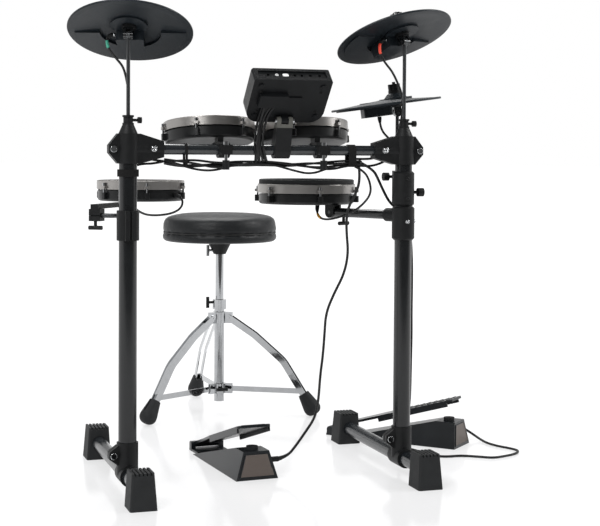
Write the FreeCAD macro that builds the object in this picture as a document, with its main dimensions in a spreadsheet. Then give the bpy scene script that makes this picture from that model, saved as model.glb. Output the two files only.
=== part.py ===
import FreeCAD, Part
import math
import os
import re
import Sketcher
from FreeCAD import Placement, Rotation, Vector

# Driving dimensions in millimetres, angles in degrees, shares as plain ratios.
# Places are measured from the middle of the rack: x along the crossbar, y towards the drummer, z up.
SIZES = {
    # Where the middle of the whole kit's footprint lies, seen from the middle of the rack
    "origin_x": 83.9,
    "origin_y": 474.26,
    # Clearances
    "grip_gap": 0.2,
    "running_gap": 0.08,
    "pin_gap": 0.05,
    "side_gap": 0.4,
    "overrun": 2.0,
    # Rack tubes
    "column_spacing": 615.0,
    "column_diameter": 38.0,
    "column_wall": 1.6,
    "column_foot_gap": 3.0,
    "column_top_gap": 5.0,
    "crossbar_height": 715.0,
    "crossbar_diameter": 22.0,
    "crossbar_wall": 1.5,
    "crossbar_end_gap": 3.0,
    "foot_bar_diameter": 32.0,
    "foot_bar_wall": 1.6,
    "foot_bar_height": 38.0,
    "foot_front_reach": 168.0,
    "foot_back_reach": 390.0,
    # Rubber feet
    "foot_bottom_width": 56.0,
    "foot_top_width": 46.0,
    "foot_bottom_depth": 62.0,
    "foot_top_depth": 55.0,
    "foot_height": 74.0,
    "foot_corner": 5.0,
    "foot_socket_depth": 45.0,
    "foot_groove_width": 3.0,
    "foot_groove_depth": 5.0,
    "foot_groove_pitch": 8.0,
    # Base clamps
    "base_sleeve_diameter": 45.0,
    "base_sleeve_top": 68.0,
    "base_bar_sleeve_diameter": 42.0,
    "base_bar_sleeve_length": 60.0,
    "base_ear_reach": 40.0,
    "base_ear_low": 22.0,
    "base_ear_high": 62.0,
    "base_ear_tip": 14.0,
    "ear_thickness": 22.0,
    "ear_slit": 2.5,
    "bolt_diameter": 8.0,
    "bolt_head_diameter": 14.0,
    "bolt_head_height": 6.0,
    # Top clamps and rod collars
    "top_sleeve_diameter": 46.0,
    "top_sleeve_below": 30.0,
    "top_sleeve_above": 32.0,
    "top_cone_height": 18.0,
    "top_cone_diameter": 40.0,
    "top_neck_diameter": 24.0,
    "top_arm_reach": 73.0,
    "top_arm_end_height": 33.0,
    "top_arm_thickness": 30.0,
    "top_ear_reach": 42.0,
    "top_ear_tip": 16.0,
    "rod_collar_height": 20.0,
    "rod_collar_flange": 4.0,
    "rod_collar_waist": 20.0,
    "collar_screw_reach": 28.0,
    "collar_screw_diameter": 6.0,
    "collar_knob_diameter": 13.0,
    "collar_knob_length": 8.0,
    # Straps that hold the leads
    "strap_thickness": 1.8,
    "strap_width": 17.0,
    "tie_width": 5.0,
    "strap_hang": 34.0,
    "strap_place": 183.0,
    "tie_place": -186.0,
    "column_strap_drop": 12.0,
    "column_strap_width": 15.0,
    "column_strap_diameter": 45.0,
    # Cymbal pads and their rods
    "rod_diameter": 8.0,
    "rod_insert": 115.0,
    "cymbal_diameter": 262.0,
    "hihat_diameter": 254.0,
    "cymbal_offset": 24.0,
    "cymbal_edge_thickness": 5.0,
    "cymbal_edge_round": 1.5,
    "cymbal_brim_round": 2.0,
    "cymbal_edge_band": 12.0,
    "cymbal_rise": 8.0,
    "cymbal_thickness": 7.0,
    "bell_diameter": 66.0,
    "bell_crown_diameter": 34.0,
    "bell_height": 11.0,
    "bell_round": 8.0,
    "hub_diameter": 76.0,
    "hub_depth": 7.0,
    "cymbal_hole": 10.5,
    "strike_ring_outer": 232.0,
    "strike_ring_inner": 128.0,
    "strike_ring_depth": 2.5,
    "sensor_box_width": 60.0,
    "sensor_box_length": 66.0,
    "sensor_box_depth": 34.0,
    "sensor_box_corner": 7.0,
    "sensor_box_start": 16.0,
    "felt_diameter": 30.0,
    "felt_height": 6.0,
    "nut_diameter": 28.0,
    "nut_height": 15.0,
    "nut_flute": 5.0,
    "stub_tip": 5.0,
    "tilter_diameter": 17.0,
    "tilter_knuckle_width": 8.4,
    "tilter_ear_width": 5.0,
    "tilter_pin_diameter": 6.0,
    "tilter_bridge": 5.0,
    "left_cymbal_rise": 235.0,
    "left_cymbal_lean": 23.3,
    "left_cymbal_facing": 71.0,
    "right_cymbal_rise": 240.0,
    "right_cymbal_lean": 23.4,
    "right_cymbal_facing": 116.0,
    "hihat_rise": 133.0,
    "hihat_lean": 7.9,
    "hihat_facing": 172.0,
    "hihat_rod_x": 42.0,
    "hihat_rod_y": 142.0,
    "hihat_rod_foot_rise": 10.0,
    # Clamp that carries the hi-hat rod
    "hihat_clamp_drop": 15.0,
    "hihat_clamp_length": 76.0,
    "hihat_clamp_diameter": 48.0,
    "hihat_boss_diameter": 22.0,
    "hihat_bridge_width": 18.0,
    "knob_diameter": 19.0,
    "knob_length": 13.0,
    "knob_shank_diameter": 7.0,
    "knob_shank_length": 10.0,
    "hihat_knob_high": 62.0,
    "hihat_knob_low": 30.0,
    # Drum pads: toms
    "tom_shell_diameter": 196.0,
    "tom_shell_height": 24.0,
    "tom_neck_diameter": 184.0,
    "tom_neck_height": 40.0,
    "tom_flesh_diameter": 193.0,
    "tom_hoop_inner": 195.0,
    "tom_hoop_outer": 200.0,
    "tom_hoop_lip": 191.0,
    "tom_hoop_low": 27.0,
    "tom_hoop_high": 47.0,
    "tom_rod_circle": 207.0,
    "tom_ear_reach": 107.0,
    # Drum pads: snare
    "snare_shell_diameter": 224.0,
    "snare_shell_height": 23.0,
    "snare_neck_diameter": 212.0,
    "snare_neck_height": 42.0,
    "snare_flesh_diameter": 221.0,
    "snare_hoop_inner": 224.0,
    "snare_hoop_outer": 230.0,
    "snare_hoop_lip": 212.0,
    "snare_hoop_low": 26.0,
    "snare_hoop_high": 47.0,
    "snare_rod_circle": 240.0,
    "snare_ear_reach": 126.0,
    "snare_rim_outer": 224.0,
    "snare_rim_inner": 204.0,
    "snare_rim_height": 11.0,
    "snare_rim_round": 4.0,
    # Drum pads: shared
    "shell_wall": 4.0,
    "shell_floor": 4.0,
    "shell_round": 7.0,
    "skin": 0.8,
    "flesh_height": 4.0,
    "hoop_flange": 3.0,
    "hoop_lip_height": 3.0,
    "ear_width": 12.0,
    "ear_height": 6.0,
    "lug_width": 11.0,
    "lug_low": 5.0,
    "lug_height": 15.0,
    "tension_rod_diameter": 4.4,
    "tension_head_diameter": 6.6,
    "tension_head_height": 7.0,
    "sensor_plate_diameter": 60.0,
    "sensor_plate_height": 3.0,
    "sensor_foam_bottom": 28.0,
    "sensor_foam_top": 14.0,
    # Rack tom mounts
    "left_tom_place": -104.5,
    "right_tom_place": 112.5,
    "tom_lean": 8.0,
    "mount_ring_diameter": 35.0,
    "mount_width": 24.0,
    "mount_pivot_y": 30.0,
    "mount_pivot_z": 8.0,
    "mount_ear_diameter": 17.0,
    "mount_pin_diameter": 7.0,
    "mount_pin_head": 11.0,
    "mount_pin_head_height": 4.0,
    "tongue_width": 12.0,
    "tongue_place": 80.0,
    "tongue_drop": 17.0,
    "tongue_root": 15.0,
    "mount_front_reach": 33.0,
    "mount_front_height": 20.0,
    "mount_bolt_diameter": 7.0,
    "mount_bolt_place": 24.0,
    "mount_bolt_rise": 7.0,
    "mount_cap_diameter": 12.0,
    "mount_knob_diameter": 15.0,
    "mount_knob_height": 20.0,
    "mount_knob_drop": 12.0,
    # Floor tom and its arm
    "floor_tom_x": -218.0,
    "floor_tom_y": 300.0,
    "floor_tom_turn": -33.9,
    "floor_tom_reach": 247.0,
    "collar_drop": 97.0,
    "collar_length": 62.0,
    "collar_diameter": 47.0,
    "collar_lug_reach": 33.0,
    "arm_rod_diameter": 10.0,
    "arm_rod_level": 48.0,
    "arm_rod_drop": 24.0,
    "arm_rod_side": 42.0,
    "arm_rod_bend": 16.0,
    "arm_rod_past": 16.0,
    "jaw_length": 26.0,
    "jaw_depth": 24.0,
    "jaw_below": 12.0,
    "bracket_width": 18.0,
    "bracket_height": 10.0,
    "bracket_overlap": 46.0,
    "wing_shank_diameter": 7.0,
    "wing_shank_length": 14.0,
    "wing_bar_diameter": 9.0,
    "wing_bar_length": 30.0,
    # Snare and its arm
    "snare_x": 172.0,
    "snare_y": 269.0,
    "snare_turn": 26.7,
    "snare_reach": 87.0,
    "snare_arm_drop": 17.0,
    "snare_arm_diameter": 21.0,
    "snare_sleeve_gap": 1.0,
    "snare_arm_level": 54.0,
    "snare_sleeve_length": 74.0,
    "snare_sleeve_diameter": 50.0,
    "sleeve_chamfer": 4.0,
    "snare_socket_diameter": 30.0,
    "snare_socket_reach": 48.0,
    "snare_knuckle_diameter": 26.0,
    "snare_knuckle_width": 14.0,
    "snare_ear_width": 6.0,
    "snare_pin_diameter": 8.0,
    "snare_pin_head": 14.0,
    "snare_wing_place": 34.0,
    # Sound module and its bracket
    "module_x": 26.0,
    "module_y": -32.0,
    "module_rise": 115.0,
    "module_tilt": 47.0,
    "module_width": 172.0,
    "module_depth": 118.0,
    "module_thickness": 36.0,
    "module_far_corner": 30.0,
    "module_near_corner": 6.0,
    "module_strip_width": 150.0,
    "module_strip_height": 20.0,
    "module_strip_depth": 3.0,
    "jack_diameter": 6.6,
    "port_width": 15.0,
    "port_height": 9.0,
    "jack_depth": 14.0,
    "socket_depth": 17.0,
    "port_sink": 1.2,
    "screen_width": 62.0,
    "screen_depth": 34.0,
    "screen_sink": 1.2,
    "screen_x": -34.0,
    "screen_y": -22.0,
    "dial_x": 46.0,
    "dial_y": -16.0,
    "dial_diameter": 34.0,
    "dial_height": 11.0,
    "dial_gap": 0.3,
    "dial_shaft_diameter": 8.0,
    "dial_shaft_length": 8.0,
    "dial_grip_diameter": 2.4,
    "button_width": 18.0,
    "button_depth": 9.0,
    "button_rise": 2.6,
    "button_sink": 5.0,
    "button_pitch": 26.0,
    "button_x": -60.0,
    "button_y": 26.0,
    "button_gap": 0.35,
    "button_round": 1.05,
    "button_travel": 1.5,
    "plug_block_x": -37.0,
    "plug_block_y": 10.0,
    "plug_block_width": 62.0,
    "plug_block_depth": 32.0,
    "plug_block_height": 11.0,
    "plate_width": 62.0,
    "plate_depth": 56.0,
    "plate_height": 3.0,
    "module_foot_diameter": 12.0,
    "module_foot_height": 3.0,
    "module_foot_inset": 18.0,
    "hinge_x": 23.0,
    "hinge_y": -24.0,
    "hinge_rise": 63.0,
    "hinge_diameter": 16.0,
    "hinge_tongue_width": 16.0,
    "hinge_ear_width": 9.0,
    "hinge_pin_diameter": 8.0,
    "bracket_ring_diameter": 36.0,
    "bracket_seam": 47.0,
    "hinge_pin_head": 13.6,
    # Pedals
    "pedal_length": 350.0,
    "pedal_bottom_width": 97.0,
    "pedal_top_width": 60.0,
    "pedal_height": 61.0,
    "pedal_wedge_length": 300.0,
    "pedal_top_front": 7.0,
    "pedal_top_back": 58.0,
    "pedal_heel_width": 80.0,
    "pedal_heel_length": 62.0,
    "pedal_heel_height": 5.0,
    "pedal_hinge_height": 15.0,
    "pedal_hinge_diameter": 15.0,
    "pedal_hinge_back": 9.0,
    "pedal_pin_diameter": 6.0,
    "pedal_lug_width": 11.0,
    "pedal_pad_diameter": 26.0,
    "pedal_pad_height": 7.0,
    "pedal_pad_place": 34.0,
    "board_width": 77.0,
    "board_heel_width": 58.0,
    "board_thickness": 6.0,
    "board_lean": 16.5,
    "board_corner": 12.0,
    "board_rib_height": 9.0,
    "board_rib_width": 4.0,
    "board_tread_height": 1.6,
    "board_tread_width": 5.0,
    "board_tread_pitch": 17.0,
    "plug_diameter": 12.0,
    "plug_length": 24.0,
    "plug_height": 34.0,
    "plug_place": 36.0,
    "kick_x": -16.0,
    "kick_y": 30.0,
    "kick_turn": 4.4,
    "hihat_pedal_x": 560.0,
    "hihat_pedal_y": 226.0,
    "hihat_pedal_turn": 43.4,
    # Throne
    "throne_x": 113.0,
    "throne_y": 834.0,
    "throne_turn": 0.0,
    "seat_diameter": 305.0,
    "seat_top_height": 543.0,
    "seat_thickness": 80.0,
    "seat_pinch": 3.5,
    "seat_pinch_height": 30.0,
    "seat_round": 17.0,
    "seat_crown": 8.0,
    "seat_dome": 2.7,
    "seat_plate_diameter": 250.0,
    "seat_plate_thickness": 5.0,
    "cone_top_diameter": 62.0,
    "cone_bottom_diameter": 33.0,
    "cone_height": 30.0,
    "cone_screw_length": 22.0,
    "post_diameter": 22.2,
    "post_insert": 97.0,
    "post_socket_gap": 4.0,
    "base_tube_diameter": 27.0,
    "base_tube_top": 296.0,
    "base_tube_bottom": 31.0,
    "collar_ring_diameter": 38.0,
    "collar_ring_height": 26.0,
    "leg_hub_drop": 8.0,
    "leg_hub_diameter": 38.0,
    "leg_hub_length": 30.0,
    "hub_lug_reach": 37.0,
        "leg_pivot_radius": 29.0,
    "leg_pin_diameter": 5.0,
    "brace_hub_height": 66.0,
    "brace_hub_length": 26.0,
    "leg_strip_width": 16.0,
    "leg_strip_thickness": 2.5,
    "leg_strip_gap": 14.0,
    "leg_joint_radius": 224.0,
    "leg_foot_radius": 270.0,
    "leg_bow": 26.0,
    "leg_foot_diameter": 46.0,
    "leg_foot_neck": 30.0,
    "leg_foot_round": 18.0,
    "leg_foot_length": 64.0,
    "brace_width": 14.0,
    "brace_thickness": 3.0,
    "brace_cheek": 3.0,
    "leg_bend": 90.0,
    "leg_foot_socket": 34.0,
    "brace_notch_depth": 36.0,
    # Leads
    "lead_diameter": 5.0,
    "loom_diameter": 12.0,
    "pedal_lead_diameter": 6.0,
}

# Ratios between sizes of one piece
SHARES = {
    "jack_place_shares": (-0.31, -0.2, 0.03, 0.12, 0.23, 0.35),
    "port_place_share": -0.087,
    "socket_edge_shares": (-0.384, -0.256, -0.142, -0.032, 0.076, 0.174, 0.291, 0.407),
    "leg_bow_shares": (0.30, 0.68),
}

# Part of the shorter of two neighbouring runs that a lead's bend takes up
BEND_SHARE = 0.45

# Hand-chosen routes of the leads' middle lines
LOOM_ROUTES = [[
    (-230, 6, 690), (-204, 4, 688), (-164, 3, 690), (-122, 6, 687), (-80, 5, 689), (-38, 7, 686),
                (6, 5, 687),
    (50, 7, 685), (94, 5, 687), (138, 6, 688), (180, 3, 690), (208, 2, 688)]]
PAD_ROUTES = [
    # left cymbal, from its box to the rod, down behind the rod and the tee fitting
    [(-327.3, 36.0, 953.3), (-338, 39.6, 952.2), (-347.5, 41.5, 945), (-352, 40, 932), (-348, 34, 917),
     (-336, 25, 902),
     (-321, 17, 886), (-309.5, 12.5, 864), (-304.6, 10.8, 834), (-303.6, 14, 803), (-301, 21.5, 774),
     (-297, 29.5, 744),
     (-288, 32, 716), (-270, 27, 699), (-250, 18.6, 692), (-231.2, 9.3, 690.5)],
    # right cymbal
    [(268.0, 11.3, 958.3), (257.3, 6.2, 957.4), (247.5, 3, 950), (243.5, 3.5, 937), (248, 7, 922),
     (260, 10.5, 907),
     (277, 13, 891), (294.5, 12.6, 870), (307.5, 11, 840), (310.6, 14, 806), (308, 22, 774),
     (300, 29.5, 744),
     (288, 31.5, 720), (268, 27, 705), (244, 20, 698), (219, 14.5, 696.5), (191.9, 12.1, 697)],
    # hi-hat pad
    [(307.7, 147.9, 793.9), (308.6, 147.7, 778), (312, 138, 758), (320, 112, 741), (323, 80, 727),
     (308, 47, 709),
     (280, 31, 694), (250, 22, 683), (221, 13, 680.5), (191.9, 8.7, 683.4)],
    # floor tom, round behind the left column
    [(-156.1, 223.0, 611.9), (-147.5, 212.3, 610.5), (-143, 201, 602), (-147, 190, 589), (-160, 179, 579),
     (-181, 165, 573), (-207, 146, 571), (-234, 121, 572), (-257, 92, 577), (-280, 62, 589), (-299, 43, 610),
     (-306, 35, 638), (-305, 33, 664), (-293, 35, 679), (-270, 28.5, 684.5), (-249, 14.5, 685),
     (-232, 3.8, 689.8)],
    # snare
    [(191.9, -3, 680.2), (211, -5, 672), (230, 6, 650), (245, 34, 620), (240, 76, 593), (224, 112, 573),
     (202, 144, 561),
     (188, 176, 556), (182, 204, 560), (182, 222, 572), (185.8, 227.7, 589.0)],
    # module, four leads side by side
    [(-30, -42.2, 806.5), (-30.6, -30.5, 793.5), (-33, -14, 770), (-38, -17, 744), (-39, -20, 722),
     (-35, -13.8, 703.3),
     (-33.1, 1.3, 690.9)],
    [(-23, -42.2, 806.5), (-23.6, -30.5, 793.5), (-25, -14, 770), (-30, -17, 744), (-31, -20, 722),
     (-27, -13.8, 703.4),
     (-25, 1.6, 690.5)],
    [(-16, -42.2, 806.5), (-16.6, -30.5, 793.5), (-17, -14, 770), (-22, -17, 744), (-23, -20, 722),
     (-19, -13.8, 703.4),
     (-17, 1.3, 690.7)],
    [(-9, -42.2, 806.5), (-9.6, -30.5, 793.5), (-9, -14, 770), (-14, -17, 744), (-15, -20, 722),
     (-11, -13.8, 703.5),
     (-9, 1, 690.8)],
]
KICK_ROUTE = [
    (203.3, 2.6, 680.8), (211, 14, 650), (206, 31, 618), (197, 48, 592), (197, 62, 565), (202, 74, 530),
              (211, 86, 484),
    (206, 100, 436), (188, 118, 390), (176, 136, 345), (178, 150, 296), (178, 160, 246), (173, 164, 198),
              (163, 145, 148),
    (146, 118, 112), (116, 98, 84), (88, 84, 56), (66, 73.5, 38), (44.1, 70.75, 34.1)]
HIHAT_ROUTE = [
    (581.1, 295.5, 33.9), (597, 310, 30), (620, 304, 15), (630, 272, 4.5), (628, 230, 3.3), (637, 188, 3.4),
               (656, 154, 3.3),
    (662, 124, 3.4), (640, 96, 3.3), (604, 80, 3.4), (568, 70, 3.3), (540, 92, 3.4), (504, 116, 3.3),
               (470, 112, 3.4),
    (444, 130, 3.3), (434, 174, 3.4), (420, 206, 5), (392, 196, 12), (368, 164, 34), (356, 122, 66),
               (352, 80, 98),
    (348, 52, 138), (345, 40, 190), (343, 34, 246), (345, 36, 304), (343, 33, 362), (345, 36, 420),
               (343, 33, 478),
    (342, 40, 532), (336, 49, 570), (316, 52, 584), (294, 48, 600), (276, 40, 626), (258, 26, 652),
               (240, 10, 674), (209.7, 2.3, 687.5)]

LUGS = 6
SOCKET_BLOCKS = (0, 1, 3, 4, 5, 6)
LEGS = 3
FOOT_GROOVES = 5
NUT_FLUTES = 8
BUTTONS = 3
DIAL_FLUTES = 24
TREADS = 9

# Heights that follow from the pieces below or above
column_foot_height = "(foot_bar_height + foot_bar_diameter / 2 + column_foot_gap)"
column_top_height = "(crossbar_height + top_sleeve_above - column_top_gap)"
top_clamp_bottom = "(crossbar_height - top_sleeve_below)"
column_strap_height = f"({top_clamp_bottom} - column_strap_drop - column_strap_width)"
collar_height = f"({top_clamp_bottom} - collar_drop - collar_length)"
floor_tom_height = f"({collar_height} + arm_rod_level + arm_rod_drop)"
hihat_clamp_height = f"({top_clamp_bottom} - hihat_clamp_drop - hihat_clamp_length)"
hihat_pivot_height = f"({hihat_clamp_height} + hihat_clamp_length + hihat_rise)"
snare_sleeve_height = f"({hihat_clamp_height} - snare_sleeve_gap - snare_sleeve_length)"
snare_height = f"({snare_sleeve_height} + snare_arm_level + snare_arm_drop)"
module_height = "(crossbar_height + module_rise)"
seat_bottom = "(seat_top_height - seat_thickness)"
post_foot_height = "(base_tube_top - post_insert)"
leg_hub_height = "(base_tube_top - collar_ring_height / 2 - leg_hub_drop - leg_hub_length / 2)"

doc = FreeCAD.newDocument("electronic_drum_kit")
sheet = doc.addObject("Spreadsheet::Sheet", "sizes")
for row, (alias, value) in enumerate(SIZES.items(), start=1):
    sheet.set(f"A{row}", alias)
    sheet.set(f"B{row}", str(value))
    sheet.setAlias(f"B{row}", alias)
doc.recompute()

WORD = re.compile(r"[a-z][a-z0-9_]*")
nodes = {}


def cells(text):
    """Name the sheet in front of every size in an expression."""
    return WORD.sub(lambda m: "sizes." + m.group(0) if m.group(0) in SIZES else m.group(0), text)


def amount(text):
    """Value of an expression in the sheet's sizes."""
    return float(sheet.evalExpression(cells(text)))


def bind(item, **properties):
    """Bind properties of an object to expressions in the sheet's sizes."""
    for name, text in properties.items():
        item.setExpression(name, cells(text))
    return item


def put(item, x="0", y="0", z="0", turn=Rotation()):
    """Place an object at three expressions, with a rotation."""
    item.Placement = Placement(Vector(amount(x), amount(y), amount(z)), turn)
    for axis, text in zip("xyz", (x, y, z)):
        item.setExpression(f"Placement.Base.{axis}", None if text == "0" else cells(text))
    return item


def about(axis, degrees):
    return Rotation(axis, amount(degrees))


X, Y, Z = Vector(1, 0, 0), Vector(0, 1, 0), Vector(0, 0, 1)
ALONG_X, ALONG_Y = Rotation(Y, 90), Rotation(X, -90)


def node(label, item, x="0", y="0", z="0", turn=Rotation()):
    """Name a finished sub-part and stand it in the kit, seen from the middle of the footprint."""
    item.Label = label
    nodes[label] = item
    return put(item, f"{x} - origin_x", f"{y} - origin_y", z, turn)


def new_body(name):
    return doc.addObject("PartDesign::Body", name)


def origin_feature(body, role):
    return next(f for f in body.Origin.OriginFeatures if f.Role == role)


def sketch(body, role, lift="0"):
    drawn = body.newObject("Sketcher::SketchObject", "outline")
    drawn.AttachmentSupport = (origin_feature(body, role), [""])
    drawn.MapMode = "FlatFace"
    drawn.AttachmentOffset = Placement(Vector(0, 0, amount(lift)), Rotation())
    drawn.setExpression("AttachmentOffset.Base.z", cells(lift))
    return drawn


def pin(drawn, shape, point, axis, text):
    """Hold one coordinate of a sketch point at an expression."""
    place = amount(text)
    if abs(place) < 1e-9:
        line = -2 if axis == "DistanceX" else -1
        drawn.addConstraint(Sketcher.Constraint("PointOnObject", shape, point, line))
        return
    number = drawn.addConstraint(Sketcher.Constraint(axis, -1, 1, shape, point, place))
    drawn.setExpression(f"Constraints[{number}]", cells(text))


def hold(drawn, shape, point, x, y):
    pin(drawn, shape, point, "DistanceX", x)
    pin(drawn, shape, point, "DistanceY", y)


def circle(drawn, radius, x="0", y="0"):
    centre = Vector(amount(x), amount(y), 0)
    shape = drawn.addGeometry(Part.Circle(centre, Z, amount(radius)), False)
    number = drawn.addConstraint(Sketcher.Constraint("Radius", shape, amount(radius)))
    drawn.setExpression(f"Constraints[{number}]", cells(radius))
    hold(drawn, shape, 3, x, y)
    return drawn


def corner_cut(before, corner, after, radius):
    """Tangent points and middle point of the arc that rounds a corner."""
    to_before, to_after = (before - corner).normalize(), (after - corner).normalize()
    half = math.acos(max(-1.0, min(1.0, to_before.dot(to_after)))) / 2
    centre = corner + (to_before + to_after).normalize() * (radius / math.sin(half))
    reach = radius / math.tan(half)
    middle = centre + (corner - centre).normalize() * radius
    return corner + to_before * reach, middle, corner + to_after * reach


def outline(drawn, corners):
    """Closed outline through corners (x, y) or (x, y, rounding radius), each an expression."""
    count = len(corners)
    spots = [Vector(amount(c[0]), amount(c[1]), 0) for c in corners]
    radii = [amount(c[2]) if len(c) > 2 else 0 for c in corners]
    cuts = []
    for i, radius in enumerate(radii):
        spot = spots[i]
        cuts.append(corner_cut(spots[i - 1], spot, spots[(i + 1) % count], radius) if radius
                    else (spot, None, spot))
    lines = [drawn.addGeometry(Part.LineSegment(cuts[i][2], cuts[(i + 1) % count][0]), False)
             for i in range(count)]
    for i, corner in enumerate(corners):
        before, after = lines[i - 1], lines[i]
        if not radii[i]:
            drawn.addConstraint(Sketcher.Constraint("Coincident", before, 2, after, 1))
            hold(drawn, after, 1, corner[0], corner[1])
            continue
        arc = drawn.addGeometry(Part.Arc(*cuts[i]), False)
        first = 1 if (drawn.Geometry[arc].StartPoint - cuts[i][0]).Length < 1e-6 else 2
        drawn.addConstraint(Sketcher.Constraint("Tangent", before, 2, arc, first))
        drawn.addConstraint(Sketcher.Constraint("Tangent", after, 1, arc, 3 - first))
        number = drawn.addConstraint(Sketcher.Constraint("Radius", arc, radii[i]))
        drawn.setExpression(f"Constraints[{number}]", cells(corner[2]))
        mark = drawn.addGeometry(Part.Point(spots[i]), True)
        drawn.addConstraint(Sketcher.Constraint("PointOnObject", mark, 1, before))
        drawn.addConstraint(Sketcher.Constraint("PointOnObject", mark, 1, after))
        hold(drawn, mark, 1, corner[0], corner[1])
    return drawn


def block_outline(drawn, width, low, high, rounding=None):
    """Rectangle centred on x, from low to high, with equal corners."""
    corners = [(f"-({width}) / 2", low), (f"({width}) / 2", low),
               (f"({width}) / 2", high), (f"-({width}) / 2", high)]
    return outline(drawn, [c + (rounding,) if rounding else c for c in corners])


def pad(body, drawn, length, middle=False, back=False):
    made = body.newObject("PartDesign::Pad", "pad")
    made.Profile = drawn
    made.Midplane = middle
    made.Reversed = back
    return bind(made, Length=length)


def pocket(body, drawn, length, middle=False, back=False):
    made = body.newObject("PartDesign::Pocket", "pocket")
    made.Profile = drawn
    made.Midplane = middle
    made.Reversed = back
    return bind(made, Length=length)


def revolve(body, drawn):
    made = body.newObject("PartDesign::Revolution", "revolution")
    made.Profile = drawn
    made.ReferenceAxis = (drawn, ["V_Axis"])
    made.Angle = 360
    return made


def around(body, features, count):
    """Polar pattern of features about the body's own upright axis."""
    doc.recompute()
    made = body.newObject("PartDesign::PolarPattern", "around")
    made.Originals = features
    made.Axis = (origin_feature(body, "Z_Axis"), [""])
    made.Angle = 360
    made.Occurrences = count
    body.Tip = made
    return made


def cylinder(diameter, height, x="0", y="0", z="0", turn=Rotation()):
    made = doc.addObject("Part::Cylinder", "cylinder")
    bind(made, Radius=f"({diameter}) / 2", Height=height)
    return put(made, x, y, z, turn)


def cone(bottom, top, height, x="0", y="0", z="0", turn=Rotation()):
    made = doc.addObject("Part::Cone", "cone")
    bind(made, Radius1=f"({bottom}) / 2", Radius2=f"({top}) / 2", Height=height)
    return put(made, x, y, z, turn)


def box(length, width, height, x="0", y="0", z="0", turn=Rotation()):
    """Block centred on x and y, standing on z."""
    made = doc.addObject("Part::Box", "box")
    bind(made, Length=length, Width=width, Height=height)
    if turn.isNull() or turn.Angle == 0:
        return put(made, f"{x} - ({length}) / 2", f"{y} - ({width}) / 2", z, turn)
    moved = turn.multVec(Vector(-amount(length) / 2, -amount(width) / 2, 0))
    made.Placement = Placement(Vector(amount(x), amount(y), amount(z)) + moved, turn)
    return made


def fuse(*items):
    made = doc.addObject("Part::MultiFuse", "fusion")
    made.Shapes = list(items)
    made.Refine = True
    return made


def cut(base, *tools):
    made = doc.addObject("Part::Cut", "cut")
    made.Base = base
    made.Tool = tools[0] if len(tools) == 1 else fuse(*tools)
    made.Refine = True
    return made


def common(*items):
    made = doc.addObject("Part::MultiCommon", "common")
    made.Shapes = list(items)
    return made


def group(*items):
    """Separate solids of one node."""
    made = doc.addObject("Part::Compound", "group")
    made.Links = list(items)
    return made


def tube(diameter, wall, length, role, middle=True):
    """Straight tube along the normal of one of its body's planes."""
    body = new_body("tube")
    drawn = circle(sketch(body, role), f"{diameter} / 2")
    circle(drawn, f"{diameter} / 2 - ({wall})")
    pad(body, drawn, length, middle=middle)
    return body


def bent_rod(spots, bends, diameter):
    """Round rod along straight runs joined by tangent arcs."""
    edges, start = [], spots[0]
    for i in range(1, len(spots) - 1):
        first, middle, last = corner_cut(spots[i - 1], spots[i], spots[i + 1], bends[i - 1])
        edges += [Part.LineSegment(start, first).toShape(), Part.Arc(first, middle, last).toShape()]
        start = last
    edges.append(Part.LineSegment(start, spots[-1]).toShape())
    spine = Part.Wire(edges)
    section = Part.Wire(Part.Circle(spots[0], spots[1] - spots[0], diameter / 2).toShape())
    made = doc.addObject("Part::Feature", "bent_rod")
    made.Shape = spine.makePipeShell([section], True, False)
    return made, spine.Length


# Rack frame


def columns():
    for label, side in (("left_column", "-"), ("right_column", "")):
        length = f"{column_top_height} - {column_foot_height}"
        body = tube("column_diameter", "column_wall", length, "XY_Plane", middle=False)
        node(label, body, f"{side}column_spacing / 2", "0", column_foot_height)


def crossbar():
    length = "column_spacing - column_diameter - 2 * crossbar_end_gap"
    node("crossbar", tube("crossbar_diameter", "crossbar_wall", length, "YZ_Plane"),
         "0", "0", "crossbar_height")


def foot_bars():
    covered = "2 * (foot_bottom_depth - foot_socket_depth)"
    length = f"foot_front_reach + foot_back_reach - {covered} - 2 * grip_gap"
    bars = []
    for side in ("-", ""):
        bar = tube("foot_bar_diameter", "foot_bar_wall", length, "XZ_Plane")
        bars.append(put(bar, f"{side}column_spacing / 2", "(foot_back_reach - foot_front_reach) / 2"))
    node("foot_bars", group(*bars), "0", "0", "foot_bar_height")


def rubber_foot():
    """Tapered block with a blind socket in its upright inner face and grooves along its top."""
    body = new_body("rubber_foot")
    bottom = sketch(body, "XY_Plane")
    block_outline(bottom, "foot_bottom_width", "0", "foot_bottom_depth", "foot_corner")
    top = sketch(body, "XY_Plane", "foot_height")
    block_outline(top, "foot_top_width", "0", "foot_top_depth", "foot_corner")
    loft = body.newObject("PartDesign::AdditiveLoft", "loft")
    loft.Profile = bottom
    loft.Sections = [top]
    loft.Ruled = True
    socket = circle(sketch(body, "XZ_Plane"), "foot_bar_diameter / 2 + grip_gap", "0", "foot_bar_height")
    pocket(body, socket, "foot_socket_depth")
    grooves = sketch(body, "XZ_Plane")
    for i in range(FOOT_GROOVES):
        middle = f"({i} - {(FOOT_GROOVES - 1) / 2}) * foot_groove_pitch"
        outline(grooves, [(f"{middle} - foot_groove_width / 2", "foot_height - foot_groove_depth"),
                          (f"{middle} + foot_groove_width / 2", "foot_height - foot_groove_depth"),
                          (f"{middle} + foot_groove_width / 2", "foot_height + overrun"),
                          (f"{middle} - foot_groove_width / 2", "foot_height + overrun")])
    pocket(body, grooves, "foot_bottom_depth + overrun")
    return body


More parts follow.
